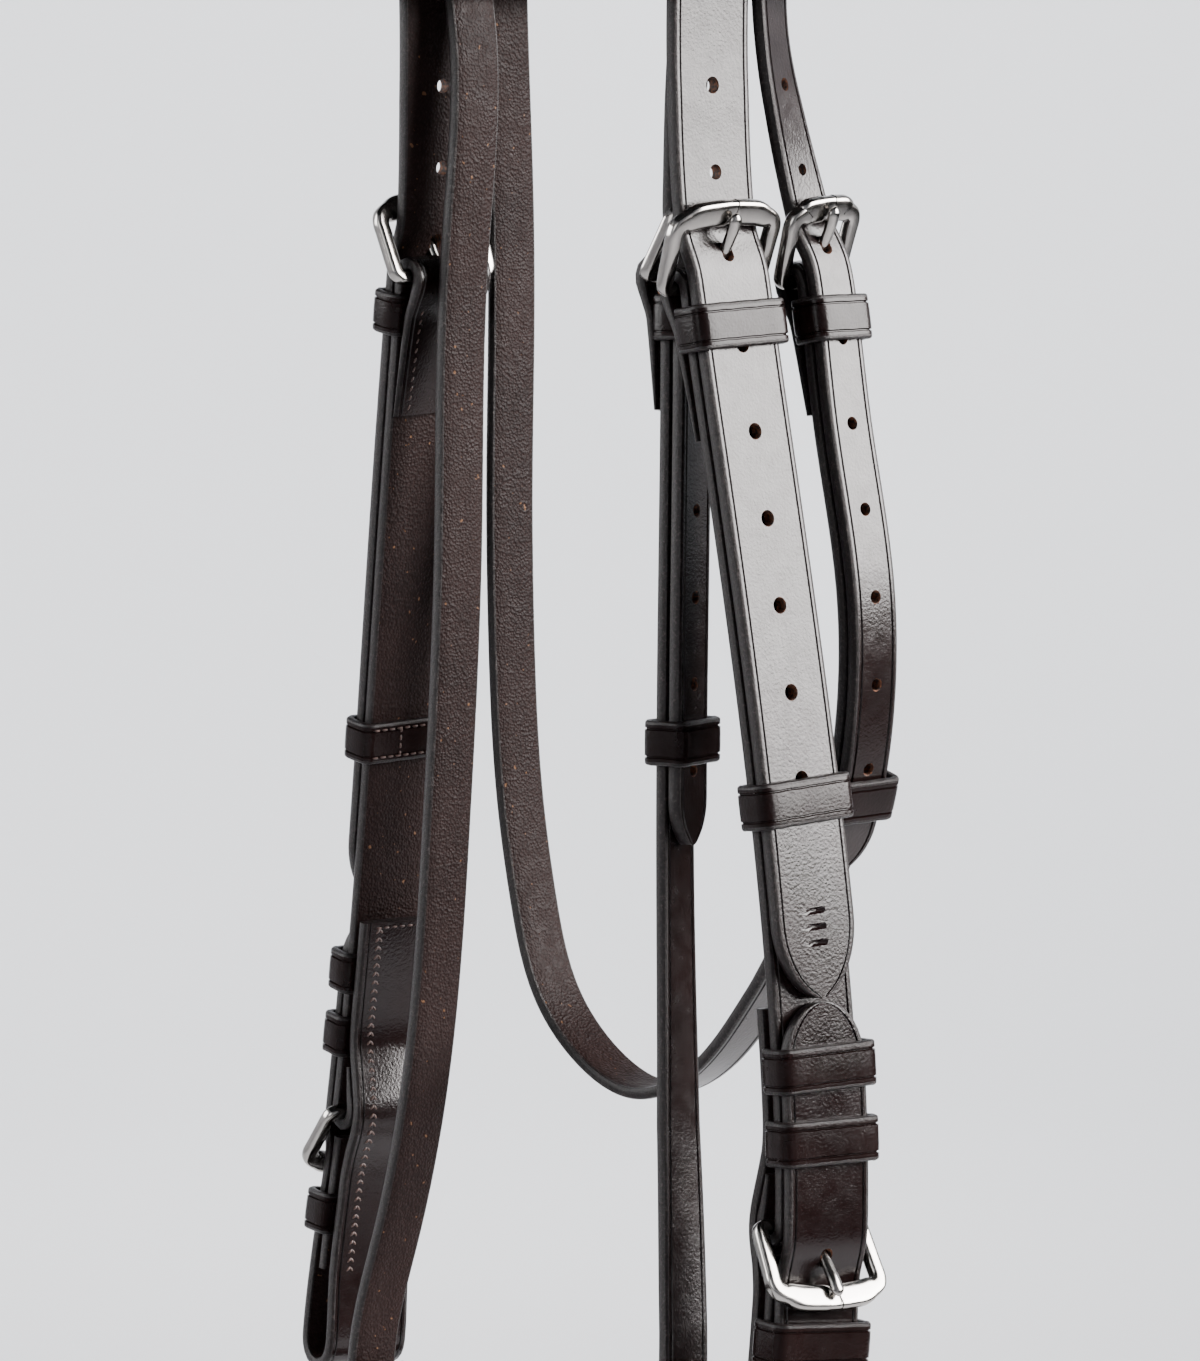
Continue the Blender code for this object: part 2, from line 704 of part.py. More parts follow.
def cheekpiece(side, route):
    """The cheek strap between its two buckles, turned round both pivot bars."""
    name = side_name(side) + "_cheekpiece"
    top = route.at_height(TOP_BUCKLE)
    bit = route.at_height(BIT_BUCKLE)
    path = wrap_path(top, 1, 33 * MM) + wrap_path(bit, -1, 11.5 * MM)[::-1]
    obj = strap(name, route, path, CHEEK_WIDTH, PLY_THICK)
    slot_for_prong(obj, buckle_set(side_name(side) + "_top", route, top, 1, CHEEK_WIDTH))
    slot_for_prong(obj, buckle_set(side_name(side) + "_bit", route, bit, -1, CHEEK_WIDTH))


def bit_strap(side, route):
    """Lining ply, the fold that carries the bit and the billet with its tip upward."""
    bar = route.at_height(BIT_BUCKLE)
    bottom = route.at_height(FOLD_BOTTOM)
    radius = 5.5 * MM
    fold = bottom - radius - BIT_THICK / 2
    path = [(route.at_height(LINING_TOP), -5.8 * MM), (bar - 22 * MM, -5.8 * MM),
            (bar - 17 * MM, -6.3 * MM), (bar - 13 * MM, -7.6 * MM), (bar - 9 * MM, -9.0 * MM),
            (bar - 4 * MM, -10.6 * MM), (bar, -11.3 * MM),
            (bar + 4 * MM, -11.0 * MM), (bar + 9 * MM, -9.6 * MM), (bar + 15 * MM, -8.7 * MM),
            (route.at_height(STITCH_END), -8.8 * MM), (fold - 5 * MM, -10 * MM)]
    path += arc_path(fold, -4.5 * MM, radius, 180, 0, 8)
    path += [(fold - 6 * MM, 0.8 * MM), (bar + 22 * MM, -0.4 * MM), (bar + 15 * MM, -0.75 * MM),
             (bar + 10.5 * MM, -0.6 * MM), (bar + 7 * MM, 0.5 * MM), (bar + 3.5 * MM, 1.4 * MM),
             (bar, 1.6 * MM), (route.at_height(BIT_TIP), 1.6 * MM)]
    name = side_name(side) + "_bit_strap"
    obj = strap(name, route, path, CHEEK_WIDTH, BIT_THICK, tips=("end",))
    cut_holes(obj, route, [prong_hole(bar, -1)])


def bit_backing(side, route):
    """Filler ply between lining and billet, under the bit buckle."""
    bar = route.at_height(BIT_BUCKLE)
    path = [(bar + 6.6 * MM, -4.1 * MM), (route.at_height(STITCH_END), -4.1 * MM)]
    strap(side_name(side) + "_bit_backing", route, path, CHEEK_WIDTH, PLY_THICK)


def cheek_keepers(side, route):
    """Five fixed keepers on one cheek."""
    name = side_name(side) + "_"
    inner = PLY_OUT - PLY_THICK / 2
    outer = BILLET_OUT + BILLET_THICK / 2
    bit_outer = 1.6 * MM + BIT_THICK / 2
    keeper(name + "top_keeper", route, route.at_height(-123.5 * MM), inner, outer, CHEEK_WIDTH)
    keeper(name + "cheek_keeper", route, route.at_height(-226 * MM), inner, outer, CHEEK_WIDTH,
           back=1.6 * MM)
    keeper(name + "bit_keeper_upper", route, route.at_height(-283.5 * MM), inner, bit_outer,
           CHEEK_WIDTH)
    keeper(name + "bit_keeper_middle", route, route.at_height(-299.5 * MM), inner, bit_outer,
           CHEEK_WIDTH)
    keeper(name + "bit_keeper_lower", route, route.at_height(-343.5 * MM), -4.1 * MM - PLY_THICK / 2,
           1.8 * MM, CHEEK_WIDTH)


def side_name(side):
    return "near" if side > 0 else "off"


# ---------------------------------------------------------------- noseband

def nose_wrap(route, out):
    """End of a noseband cheek: down outside the nosepiece, under it and up inside."""
    drop = route.at_height(-402 * MM)
    low = route.at_height(-412.5 * MM)
    radius = 4.05 * MM
    path = [(route.at_height(-300 * MM), out), (route.at_height(-345 * MM), 0.0), (drop, 0.0)]
    path += arc_path(low, -radius, radius, 0, 180, 6)
    path += [(drop, -2 * radius), (route.at_height(-385 * MM), -2 * radius),
             (route.at_height(-380 * MM), -6.2 * MM, 2.2 * MM),
             (route.at_height(-373 * MM), -4.0 * MM, 1.4 * MM)]
    return path


def noseband_straps(noses):
    """Sliphead over the poll, and the near cheek that it buckles to."""
    near, off = noses[1], noses[-1]
    pivot = near.at_height(NOSE_BUCKLE)
    path = with_thickness([(near.at_height(-45 * MM), 0.0)], BILLET_THICK)
    path += billet_path(pivot, 1) + [(near.at_height(-238 * MM), BILLET_OUT, BILLET_THICK)]
    level = [(POLL_FACE, 0.0, BILLET_THICK), (POLL_FACE + 1.5 * MM, 0.0, BILLET_THICK)]
    near_part = fill_path(level + path)
    near_part = tip_stations(near_part, ("end",), SLIM_WIDTH)
    rings = ply_rings(near, near_part, SLIM_WIDTH, ("end",))
    off_path = level + with_thickness([(off.at_height(-45 * MM), 0.0)] + nose_wrap(off, 0.0),
                                      BILLET_THICK)
    off_rings = ply_rings(off, fill_path(off_path, 8 * MM), SLIM_WIDTH)
    off_rings = matched([Vector(p) for p in rings[0]], off_rings)
    bm = bmesh.new()
    loft(bm, rings[::-1] + off_rings)
    obj = add_object("noseband_sliphead", bm)
    holes = [prong_hole(pivot, 1)]
    holes += [(pivot + i * 19 * MM - 5 * MM, BILLET_OUT, 1.6 * HOLE_RADIUS, 1.6 * HOLE_RADIUS)
              for i in range(1, 7)]
    cut_holes(obj, near, holes)
    cheek = strap("noseband_near_cheek", near, wrap_path(pivot, 1, 30 * MM) + nose_wrap(near, PLY_OUT),
                  SLIM_WIDTH, PLY_THICK)
    slot_for_prong(cheek, buckle_set("noseband_cheek", near, pivot, 1, SLIM_WIDTH))
    slim_keepers("noseband_cheek", near, near.at_height(-122.5 * MM), near.at_height(-215 * MM))


def slim_keepers(prefix, route, fixed, runner):
    """One sewn keeper and one sliding runner on a narrow strap."""
    inner = PLY_OUT - PLY_THICK / 2
    outer = BILLET_OUT + BILLET_THICK / 2
    keeper(prefix + "_keeper", route, fixed, inner, outer, SLIM_WIDTH)
    obj = keeper(prefix + "_runner", route, runner, inner, outer, SLIM_WIDTH, RUNNER_ROOM, 1.6 * MM)
    set_origin(obj, Vector(route.point(runner, 0)))


def set_origin(obj, place):
    """Move an object's origin without moving its mesh."""
    obj.data.transform(Matrix.Translation(-place))
    obj.location = place


def nose_width(s, length):
    """Width of the nosepiece: full round the nose, narrow at its two ends."""
    left = min(s - NOSE_NEAR_END, length - s - NOSE_OFF_END)
    ramp = min(max(left / NOSE_FLARE, 0), 1)
    ease = ramp * ramp * (3 - 2 * ramp)
    return SLIM_WIDTH + (NOSE_WIDTH - SLIM_WIDTH) * ease


def nosepiece(route):
    length = route.lengths[-1]
    rings = []
    count = 44
    for i in range(count + 1):
        s = min(max(length * i / count, 0.2 * MM), length - 0.2 * MM)
        place, _, out, across = (Vector(v) for v in route.frame(s))
        half = across * nose_width(s, length) / 2
        up = out * NOSE_THICK / 2
        rings.append([place - half - up, place + half - up, place + half + up, place - half + up])
    bm = bmesh.new()
    loft(bm, rings)
    add_object("nosepiece", bm)


def chin_parts(route):
    """Tab with the chin buckle on the near side, and the chin strap from the off side."""
    pivot = 52 * MM
    tab = with_thickness([(1 * MM, PLY_OUT)], PLY_THICK) + wrap_path(pivot, -1, 11 * MM)[::-1]
    obj = strap("noseband_chin_tab", route, tab, SLIM_WIDTH, PLY_THICK)
    slot_for_prong(obj, buckle_set("noseband_chin", route, pivot, -1, SLIM_WIDTH))
    path = [(5 * MM, BILLET_OUT)] + billet_path(pivot, -1)[::-1]
    path += [(pivot + 40 * MM, 0.0), (route.lengths[-1] - 60 * MM, 0.0),
             (route.lengths[-1] - 3 * MM, PLY_OUT + 0.1 * MM)]
    chin = strap("noseband_chin_strap", route, path, SLIM_WIDTH, BILLET_THICK, tips=("start",))
    cut_holes(chin, route, [prong_hole(pivot, -1)])
    slim_keepers("noseband_chin", route, pivot - 9.5 * MM, pivot - 23.7 * MM)


# ---------------------------------------------------------------- throatlash and browband

def throatlash(route):
    pivot = route.at_height(THROAT_BUCKLE)
    end = off_splice(route)
    under = pivot + 138 * MM
    path = wrap_path(pivot, 1, 30 * MM) + [(under, PLY_OUT), (under + 30 * MM, 0.0), (end, 0.0)]
    obj = strap("throatlash", route, path, SLIM_WIDTH, PLY_THICK)
    slot_for_prong(obj, buckle_set("throatlash", route, pivot, 1, SLIM_WIDTH))
    slim_keepers("throatlash", route, pivot + 9.5 * MM, route.at_height(-227.5 * MM))


def browband():
    """Front strap whose two ends are folded into loops round the headpiece and sewn."""
    half = [(48.6, -46), (48.3, -25), (45, -17.5), (38.5, -14.6), (35.6, -9), (35.6, 6),
            (35.6, 23), (38, 31), (44, 34.5), (50, 31), (52.2, 23), (52.2, 4), (51.6, -12),
            (51.4, -26), (51.8, -60), (50, -90), (43.5, -120), (27, -143)]
    plan = half + [(0, -151)] + [(-x, y) for x, y in reversed(half)]
    smooth = spline_samples([(x * MM, y * MM, 0) for x, y in plan], 2)
    rings = []
    for i, spot in enumerate(smooth):
        along = smooth[min(i + 1, len(smooth) - 1)] - smooth[max(i - 1, 0)]
        along /= np.linalg.norm(along)
        away = np.array([along[1], -along[0], 0]) * BROW_THICK / 2
        ahead = max(0, -spot[1] - 36 * MM)
        lift = 0.2 * ahead ** 2 / (ahead + 8 * MM)
        low = np.array([0, 0, BROW_LOW + lift])
        high = low + np.array([0, 0, BROW_WIDTH])
        rings.append([spot - away + low, spot + away + low, spot + away + high, spot - away + high])
    bm = bmesh.new()
    loft(bm, rings)
    add_object("browband", bm)


def main():
    for obj in list(bpy.data.objects):
        bpy.data.objects.remove(obj)
    cheeks = {1: cheek_route(1), -1: cheek_route(-1)}
    noses = {1: nose_route(1), -1: nose_route(-1)}
    throat = throat_route()
    headpiece(cheeks, throat)
    for side, route in cheeks.items():
        cheekpiece(side, route)
        bit_strap(side, route)
        bit_backing(side, route)
        cheek_keepers(side, route)
    noseband_straps(noses)
    nosepiece(nose_piece_route())
    chin_parts(chin_route())
    throatlash(throat)
    browband()


main()
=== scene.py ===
"""Looks of the snaffle bridle: leather straps, keepers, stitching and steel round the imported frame."""
import math

import bmesh
import bpy
import numpy as np
from mathutils import Matrix, Vector


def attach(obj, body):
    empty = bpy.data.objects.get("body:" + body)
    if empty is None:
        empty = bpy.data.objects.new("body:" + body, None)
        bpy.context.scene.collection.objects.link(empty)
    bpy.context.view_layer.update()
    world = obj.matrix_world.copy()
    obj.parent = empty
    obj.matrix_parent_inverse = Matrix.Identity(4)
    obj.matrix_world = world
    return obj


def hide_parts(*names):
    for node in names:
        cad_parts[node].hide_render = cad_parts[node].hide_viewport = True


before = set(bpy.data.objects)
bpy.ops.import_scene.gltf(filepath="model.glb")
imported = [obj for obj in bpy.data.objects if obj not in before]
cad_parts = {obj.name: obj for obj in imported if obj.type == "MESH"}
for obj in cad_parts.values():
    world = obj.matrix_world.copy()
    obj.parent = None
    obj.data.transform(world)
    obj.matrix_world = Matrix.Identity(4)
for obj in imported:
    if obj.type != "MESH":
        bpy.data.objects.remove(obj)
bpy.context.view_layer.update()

MM = 0.001

# Leather sizes, as in the CAD
CHEEK_WIDTH = 22 * MM
SLIM_WIDTH = 13 * MM
BILLET_THICK = 3.0 * MM
PLY_THICK = 2.8 * MM
BIT_THICK = 2.6 * MM
NOSE_WIDTH = 32 * MM
NOSE_THICK = 4.5 * MM
NOSE_NEAR_END = 26 * MM
NOSE_OFF_END = 58 * MM
NOSE_FLARE = 28 * MM
BROW_WIDTH = 22 * MM
BROW_THICK = 2.4 * MM
CROWN_SLIT = 1.4 * MM
THROAT_SHIFT = 18.9 * MM

# Layers, outward from the face where the inner and the outer ply meet
PLY_OUT = -1.55 * MM
BILLET_OUT = 1.75 * MM
BAR_OUT = -4.85 * MM
WRAP_RADIUS = 3.3 * MM
BIT_BILLET_OUT = 1.6 * MM

# Buckles and keepers
BAR_RADIUS = 1.6 * MM
BUCKLE_LONG = 16.7 * MM
BUCKLE_TILT = math.radians(30)
OUTER_BAR_WIDE = 4.8 * MM
OUTER_BAR_THICK = 3.0 * MM
SIDE_WIDE = 3.4 * MM
PRONG_RADIUS = 1.25 * MM
PRONG_CURL = 3.0 * MM
KEEPER_TALL = 10 * MM
KEEPER_THICK = 2.0 * MM
KEEPER_BACK = 0.8 * MM
KEEPER_ROOM = 0.35 * MM
RUNNER_ROOM = 0.7 * MM
HOLE_RADIUS = 1.7 * MM
STAMP_DEPTH = 0.9 * MM
STAMPED = -1
POINTED = (0.78, 0.62)
ROUNDED = (0.6, 0.5)
TIP_BLUNT = 0.08

# Heights
TOP_BUCKLE = -114.5 * MM
BIT_BUCKLE = -318 * MM
NOSE_BUCKLE = -113 * MM
THROAT_BUCKLE = -113.5 * MM
CHEEK_TIP = -268.5 * MM
BIT_TIP = -269.5 * MM
LINING_TOP = -270 * MM
STITCH_END = -357 * MM
FOLD_BOTTOM = -381 * MM
FIRST_HOLE = -71.7 * MM
HOLE_STEP = 18.7 * MM
SLIM_HOLE_STEP = 19 * MM
SLIM_HOLE_RADIUS = 0.8 * HOLE_RADIUS
BROW_LOW = -51 * MM
BROW_FACE = 52.65 * MM
END_PITCH = 2.4 * MM

STATION = 1.7 * MM
CREASE_DEPTH = 0.32 * MM
INSIDE_CAD = 0.97
BAND_INSIDE_CAD = 0.995
GRAIN, EDGE, FLESH, RIM = 0, 1, 2, 3


# ---------------------------------------------------------------- camera

VIEW_TURN = math.radians(-40.19)
VIEW_DISTANCE = 1.0736
VIEW_ASIDE = 0.00696
VIEW_HEIGHT = -0.073
VIEW_PITCH = math.radians(7.05)
LENS = 126.0


def make_camera():
    """Camera in front of the near cheek, looking slightly down."""
    toward = Vector((math.cos(VIEW_TURN), math.sin(VIEW_TURN), 0))
    right = Vector((-toward.y, toward.x, 0))
    data = bpy.data.cameras.new("camera")
    data.lens = LENS
    data.sensor_width = 36
    data.clip_start = 0.05
    data.clip_end = 50
    cam = link_object("camera", data)
    ahead = -toward * math.cos(VIEW_PITCH) - Vector((0, 0, math.sin(VIEW_PITCH)))
    up = right.cross(ahead)
    matrix = Matrix((right, up, -ahead)).transposed().to_4x4()
    matrix.translation = toward * VIEW_DISTANCE + right * VIEW_ASIDE + Vector((0, 0, VIEW_HEIGHT))
    cam.matrix_world = matrix
    bpy.context.scene.camera = cam


# ---------------------------------------------------------------- materials

class Nodes:
    """Small helper for building a node tree."""

    def __init__(self, name):
        self.mat = bpy.data.materials.new(name)
        self.mat.use_nodes = True
        self.tree = self.mat.node_tree
        self.shader = self.tree.nodes["Principled BSDF"]
        coords = self.tree.nodes.new("ShaderNodeTexCoord")
        self.coords = coords.outputs["Object"]

    def node(self, kind, **values):
        """A new node with the given input values."""
        made = self.tree.nodes.new(kind)
        for key, value in values.items():
            made.inputs[key.replace("_", " ")].default_value = value
        return made

    def link(self, source, target):
        self.tree.links.new(source, target)

    def noise(self, scale, detail=3, rough=0.55, stretch=None):
        made = self.node("ShaderNodeTexNoise", Scale=scale, Detail=detail, Roughness=rough)
        self.link(self.mapped(stretch), made.inputs["Vector"])
        return made.outputs["Fac"]

    def mapped(self, stretch):
        if stretch is None:
            return self.coords
        made = self.node("ShaderNodeMapping", Scale=stretch)
        self.link(self.coords, made.inputs["Vector"])
        return made.outputs["Vector"]

    def cells(self, scale, smooth):
        made = self.node("ShaderNodeTexVoronoi")
        made.feature = "SMOOTH_F1"
        made.inputs["Scale"].default_value = scale
        made.inputs["Smoothness"].default_value = smooth
        self.link(self.coords, made.inputs["Vector"])
        return made.outputs["Distance"]

    def ramp(self, source, stops):
        made = self.node("ShaderNodeValToRGB")
        elements = made.color_ramp.elements
        elements[0].position, elements[0].color = stops[0][0], (*stops[0][1], 1)
        elements[1].position, elements[1].color = stops[-1][0], (*stops[-1][1], 1)
        for place, colour in stops[1:-1]:
            extra = elements.new(place)
            extra.color = (*colour, 1)
        self.link(source, made.inputs["Fac"])
        return made.outputs["Color"]

    def spread(self, source, low, high, start=0.0, end=1.0):
        made = self.node("ShaderNodeMapRange", From_Min=start, From_Max=end, To_Min=low, To_Max=high)
        self.link(source, made.inputs["Value"])
        return made.outputs["Result"]

    def mix(self, factor, first, second):
        made = self.node("ShaderNodeMix")
        made.data_type = "RGBA"
        self.link(factor, made.inputs["Factor"])
        for source, slot in ((first, made.inputs["A"]), (second, made.inputs["B"])):
            if isinstance(source, tuple):
                slot.default_value = (*source, 1)
            else:
                self.link(source, slot)
        return made.outputs["Result"]

    def bump(self, height, distance, strength=1.0, below=None):
        made = self.node("ShaderNodeBump", Distance=distance, Strength=strength)
        self.link(height, made.inputs["Height"])
        if below is not None:
            self.link(below, made.inputs["Normal"])
        return made.outputs["Normal"]

    def finish(self, colour=None, roughness=None, normal=None, **fixed):
        inputs = self.shader.inputs
        for source, name in ((colour, "Base Color"), (roughness, "Roughness"), (normal, "Normal")):
            if source is not None:
                self.link(source, inputs[name])
        for name, value in fixed.items():
            inputs[name.replace("_", " ")].default_value = value
        return self.mat


def grain_leather(name, dark, light, rough=(0.2, 0.28), gloss=0.24):
    """Waxed, dyed outer face with fine pores and a soft gloss."""
    n = Nodes(name)
    colour = n.mix(n.spread(n.noise(55, 4), 0, 1, 0.3, 0.7), dark, light)
    pores = n.noise(1500, 2, 0.5)
    creases = n.noise(380, 2, stretch=(1, 1, 0.6))
    normal = n.bump(pores, 0.0002, 0.3)
    normal = n.bump(creases, 0.0002, 0.045, normal)
    return n.finish(colour, n.spread(n.noise(260, 3), *rough, 0.3, 0.7), normal,
                    Specular_IOR_Level=gloss)


def flesh_leather(name, dark, light):
    """Pebbled inner face: rougher, greyer, with pebbles lightened as painted highlight, and raw specks.
    """
    n = Nodes(name)
    tone = n.noise(38, 4)
    colour = n.mix(n.spread(tone, 0, 1, 0.3, 0.7), dark, light)
    pebble = n.cells(1450, 0.35)
    # Painted highlight: each pebble cell is lightened toward its centre.
    painted_pebble_highlight = n.spread(pebble, 0.6, 0, 0.1, 0.55)
    colour = n.mix(painted_pebble_highlight, colour, tuple(min(1, c * 1.75) for c in light))
    specks = n.spread(n.noise(620, 1), 0, 0.8, 0.735, 0.77)
    colour = n.mix(specks, colour, (0.10, 0.05, 0.025))
    normal = n.bump(pebble, 0.00025, 0.8)
    normal = n.bump(n.noise(1500, 2), 0.0002, 0.3, normal)
    return n.finish(colour, n.spread(n.noise(300, 2), 0.46, 0.62, 0.3, 0.7), normal,
                    Specular_IOR_Level=0.065)


def edge_leather(name):
    """Dyed and burnished cut edge, rough and finely bumped, with pale specks painted in as highlight."""
    n = Nodes(name)
    specks = n.noise(1500, 4, 0.7)
    # The pale top stop of this ramp is painted highlight: speckled glints on the dark edge.
    colour = n.ramp(specks, [(0.4, (0.002, 0.001, 0.001)), (0.56, (0.005, 0.003, 0.003)),
                             (0.72, (0.032, 0.024, 0.023))])
    normal = n.bump(specks, 0.0003, 0.7)
    return n.finish(colour, n.spread(specks, 0.3, 0.5, 0.3, 0.7), normal, Specular_IOR_Level=0.2)


def raw_leather_and_hole_shade(name):
    """Undyed tan leather inside a punched hole, mottled with near-black painted shade."""
    n = Nodes(name)
    fibre = n.noise(1300, 3)
    # The near-black stop is painted shade inside the hole; the tan stop is the raw leather.
    colour = n.ramp(fibre, [(0.4, (0.004, 0.0015, 0.001)), (0.72, (0.14, 0.045, 0.014))])
    return n.finish(colour, None, n.bump(fibre, 0.0002, 0.6), Roughness=0.8)


def polished_steel(name):
    """Polished stainless steel with faint hairlines, its dull base colour painted shade."""
    n = Nodes(name)
    lines = n.noise(700, 2, stretch=(1, 1, 0.15))
    # The dull base colour is painted shade: it dims the pale floor's reflection in the steel.
    return n.finish(None, n.spread(lines, 0.13, 0.22, 0.3, 0.7), n.bump(lines, 0.00003, 0.1),
                    Base_Color=(0.25, 0.238, 0.225, 1), Metallic=1.0)


def sewing_thread(name):
    """Waxed linen thread."""
    n = Nodes(name)
    fibre = n.noise(2600, 2)
    colour = n.ramp(fibre, [(0.3, (0.014, 0.005, 0.0035)), (0.7, (0.05, 0.02, 0.0125))])
    return n.finish(colour, None, n.bump(fibre, 0.0001, 0.5), Roughness=0.5, Specular_IOR_Level=0.5)


def paper(name, shade):
    """Seamless studio paper."""
    n = Nodes(name)
    tone = n.noise(3, 2)
    low = tuple(c * 0.985 for c in shade)
    return n.finish(n.mix(tone, low, shade), None, None, Roughness=0.95, Specular_IOR_Level=0.1)


def make_materials():
    dark = (0.0034, 0.0014, 0.0013)
    light = (0.0066, 0.003, 0.0028)
    mats = {"edge": edge_leather("edge"), "rim": raw_leather_and_hole_shade("rim"),
            "steel": polished_steel("steel"), "thread": sewing_thread("thread")}
    mats["grain"] = grain_leather("grain", dark, light)
    mats["lining"] = grain_leather("lining", (0.0034, 0.0013, 0.0013), (0.0055, 0.0022, 0.0021),
                                   (0.16, 0.24))
    # Painted shade: the keepers get a darker, less glossy copy of the grain leather.
    mats["keeper"] = grain_leather("keeper", (0.0032, 0.0013, 0.0012), (0.0062, 0.0028, 0.0026),
                                   (0.2, 0.28), 0.11)
    mats["flesh"] = flesh_leather("flesh", (0.0048, 0.0022, 0.002), (0.0098, 0.005, 0.0045))
    return mats


# ---------------------------------------------------------------- routes

def spline_slopes(knots, values):
    """Slopes of the natural cubic spline through the values."""
    count = len(knots)
    step = np.diff(knots)
    matrix = np.zeros((count, count))
    right = np.zeros_like(values)
    rise = np.diff(values, axis=0) / step[:, None]
    for i in range(1, count - 1):
        matrix[i, i - 1] = step[i]
        matrix[i, i] = 2 * (step[i - 1] + step[i])
        matrix[i, i + 1] = step[i - 1]
        right[i] = 3 * (step[i] * rise[i - 1] + step[i - 1] * rise[i])
    matrix[0, :2] = (2, 1)
    matrix[-1, -2:] = (1, 2)
    right[0] = 3 * rise[0]
    right[-1] = 3 * rise[-1]
    return np.linalg.solve(matrix, right)


def spline_samples(points, per_span=40):
    """Points along the natural cubic spline through the given points."""
    points = np.array(points, float)
    steps = np.linalg.norm(np.diff(points[:, :3], axis=0), axis=1)
    knots = np.concatenate([[0.0], np.cumsum(steps)])
    slopes = spline_slopes(knots, points)
    samples = []
    for i in range(len(points) - 1):
        width = knots[i + 1] - knots[i]
        for t in np.arange(per_span) / per_span:
            h00 = 2 * t ** 3 - 3 * t ** 2 + 1
            h10 = t ** 3 - 2 * t ** 2 + t
            h01 = 3 * t ** 2 - 2 * t ** 3
            h11 = t ** 3 - t ** 2
            samples.append(h00 * points[i] + h01 * points[i + 1]
                           + width * (h10 * slopes[i] + h11 * slopes[i + 1]))
    samples.append(points[-1])
    return np.array(samples)


class Route:
    """Curve through (x, y, z, outward x, y, z), given in millimetres, that a strap follows."""

    def __init__(self, points, front_sign=1):
        rows = np.array(points, float)
        rows[:, :3] *= MM
        samples = spline_samples(rows)
        samples[:, 2] = np.minimum(samples[:, 2], rows[:, 2].max())
        self.places = samples[:, :3]
        self.outs = samples[:, 3:]
        steps = np.linalg.norm(np.diff(self.places, axis=0), axis=1)
        self.lengths = np.concatenate([[0.0], np.cumsum(steps)])
        self.front_sign = front_sign

    def place(self, s):
        return np.array([np.interp(s, self.lengths, self.places[:, k]) for k in range(3)])

    def frame(self, s):
        """Point, direction along, direction outward and direction across at length s."""
        reach = 1.5 * MM
        along = self.place(s + reach) - self.place(s - reach)
        along /= np.linalg.norm(along)
        out = np.array([np.interp(s, self.lengths, self.outs[:, k]) for k in range(3)])
        out -= out.dot(along) * along
        out /= np.linalg.norm(out)
        across = self.front_sign * np.cross(along, out)
        return self.place(s), along, out, across

    def vectors(self, s):
        return tuple(Vector(v) for v in self.frame(s))

    def at_height(self, height):
        """Length at which the route, followed downward from its start, reaches a height."""
        lowest = int(np.argmin(self.places[:, 2]))
        heights = self.places[:lowest + 1, 2]
        return float(np.interp(-height, -heights, self.lengths[:lowest + 1]))

    def point(self, s, n):
        place, _, out, _ = self.frame(s)
        return place + n * out


ARCH_HALF_FLAT = 15
ARCH_CORNER = -26.8


def arch(radius, y):
    """Quarter of the arch over the poll: flat in the middle, then a round corner."""
    points = [(0, y, ARCH_CORNER + radius, 0, 0, 1)]
    for degrees in (0, 30, 60, 90):
        turn = math.radians(degrees)
        points.append((ARCH_HALF_FLAT + radius * math.sin(turn), y,
                       ARCH_CORNER + radius * math.cos(turn), math.sin(turn), 0, math.cos(turn)))
    return points


def mirrored(points, side):
    """The same points on the near (+1) or off (-1) side."""
    return [(side * x, y, z, side * a, b, c) for x, y, z, a, b, c in points]


def cheek_route(side):
    """From the poll down a cheek to the fold that holds the bit."""
    twist = side * 0.105
    lower = [(47, 0, -45, 1, 0, 0), (46.8, 0, -68, 1, 0, 0), (57.7, 2.3, -150, 1, 0, 0),
             (72.5, 5.7, -243, 1, -twist / 2, 0), (78.2, 5.6, -289, 1, -twist, 0),
             (81.5, 3.1, -326, 1, -twist, 0), (83, -2, -368, 1, -twist, 0),
             (83, -4, -395, 1, -twist, 0)]
    return Route(mirrored(arch(32, 0) + lower, side), side)


def nose_route(side):
    """From the poll down the noseband's cheek strap and past the nosepiece."""
    near = side > 0
    turn = 0.31 if near else 0.0
    buckle_spot = (34, 5.1, -112, 1, turn, 0) if near else (39, 1, -112, 1, 0, 0)
    lower = [(41.5, 3, -42, 1, 0, 0), (38, 3, -62, 1, turn / 2, 0), buckle_spot,
             (39.8, -0.5, -178, 1, turn, 0), (41.8, -2.7, -243, 1, turn, 0),
             (46.2, -5.6, -303, 1, turn / 2, 0), (51.9, -10.6, -343, 1, 0, 0),
             (55.9, -14.4, -368, 1, 0, 0), (56, -15.5, -390, 1, 0, 0),
             (56, -15.5, -430, 1, 0, 0)]
    return Route(mirrored(arch(28.3, 3) + lower, side), side)


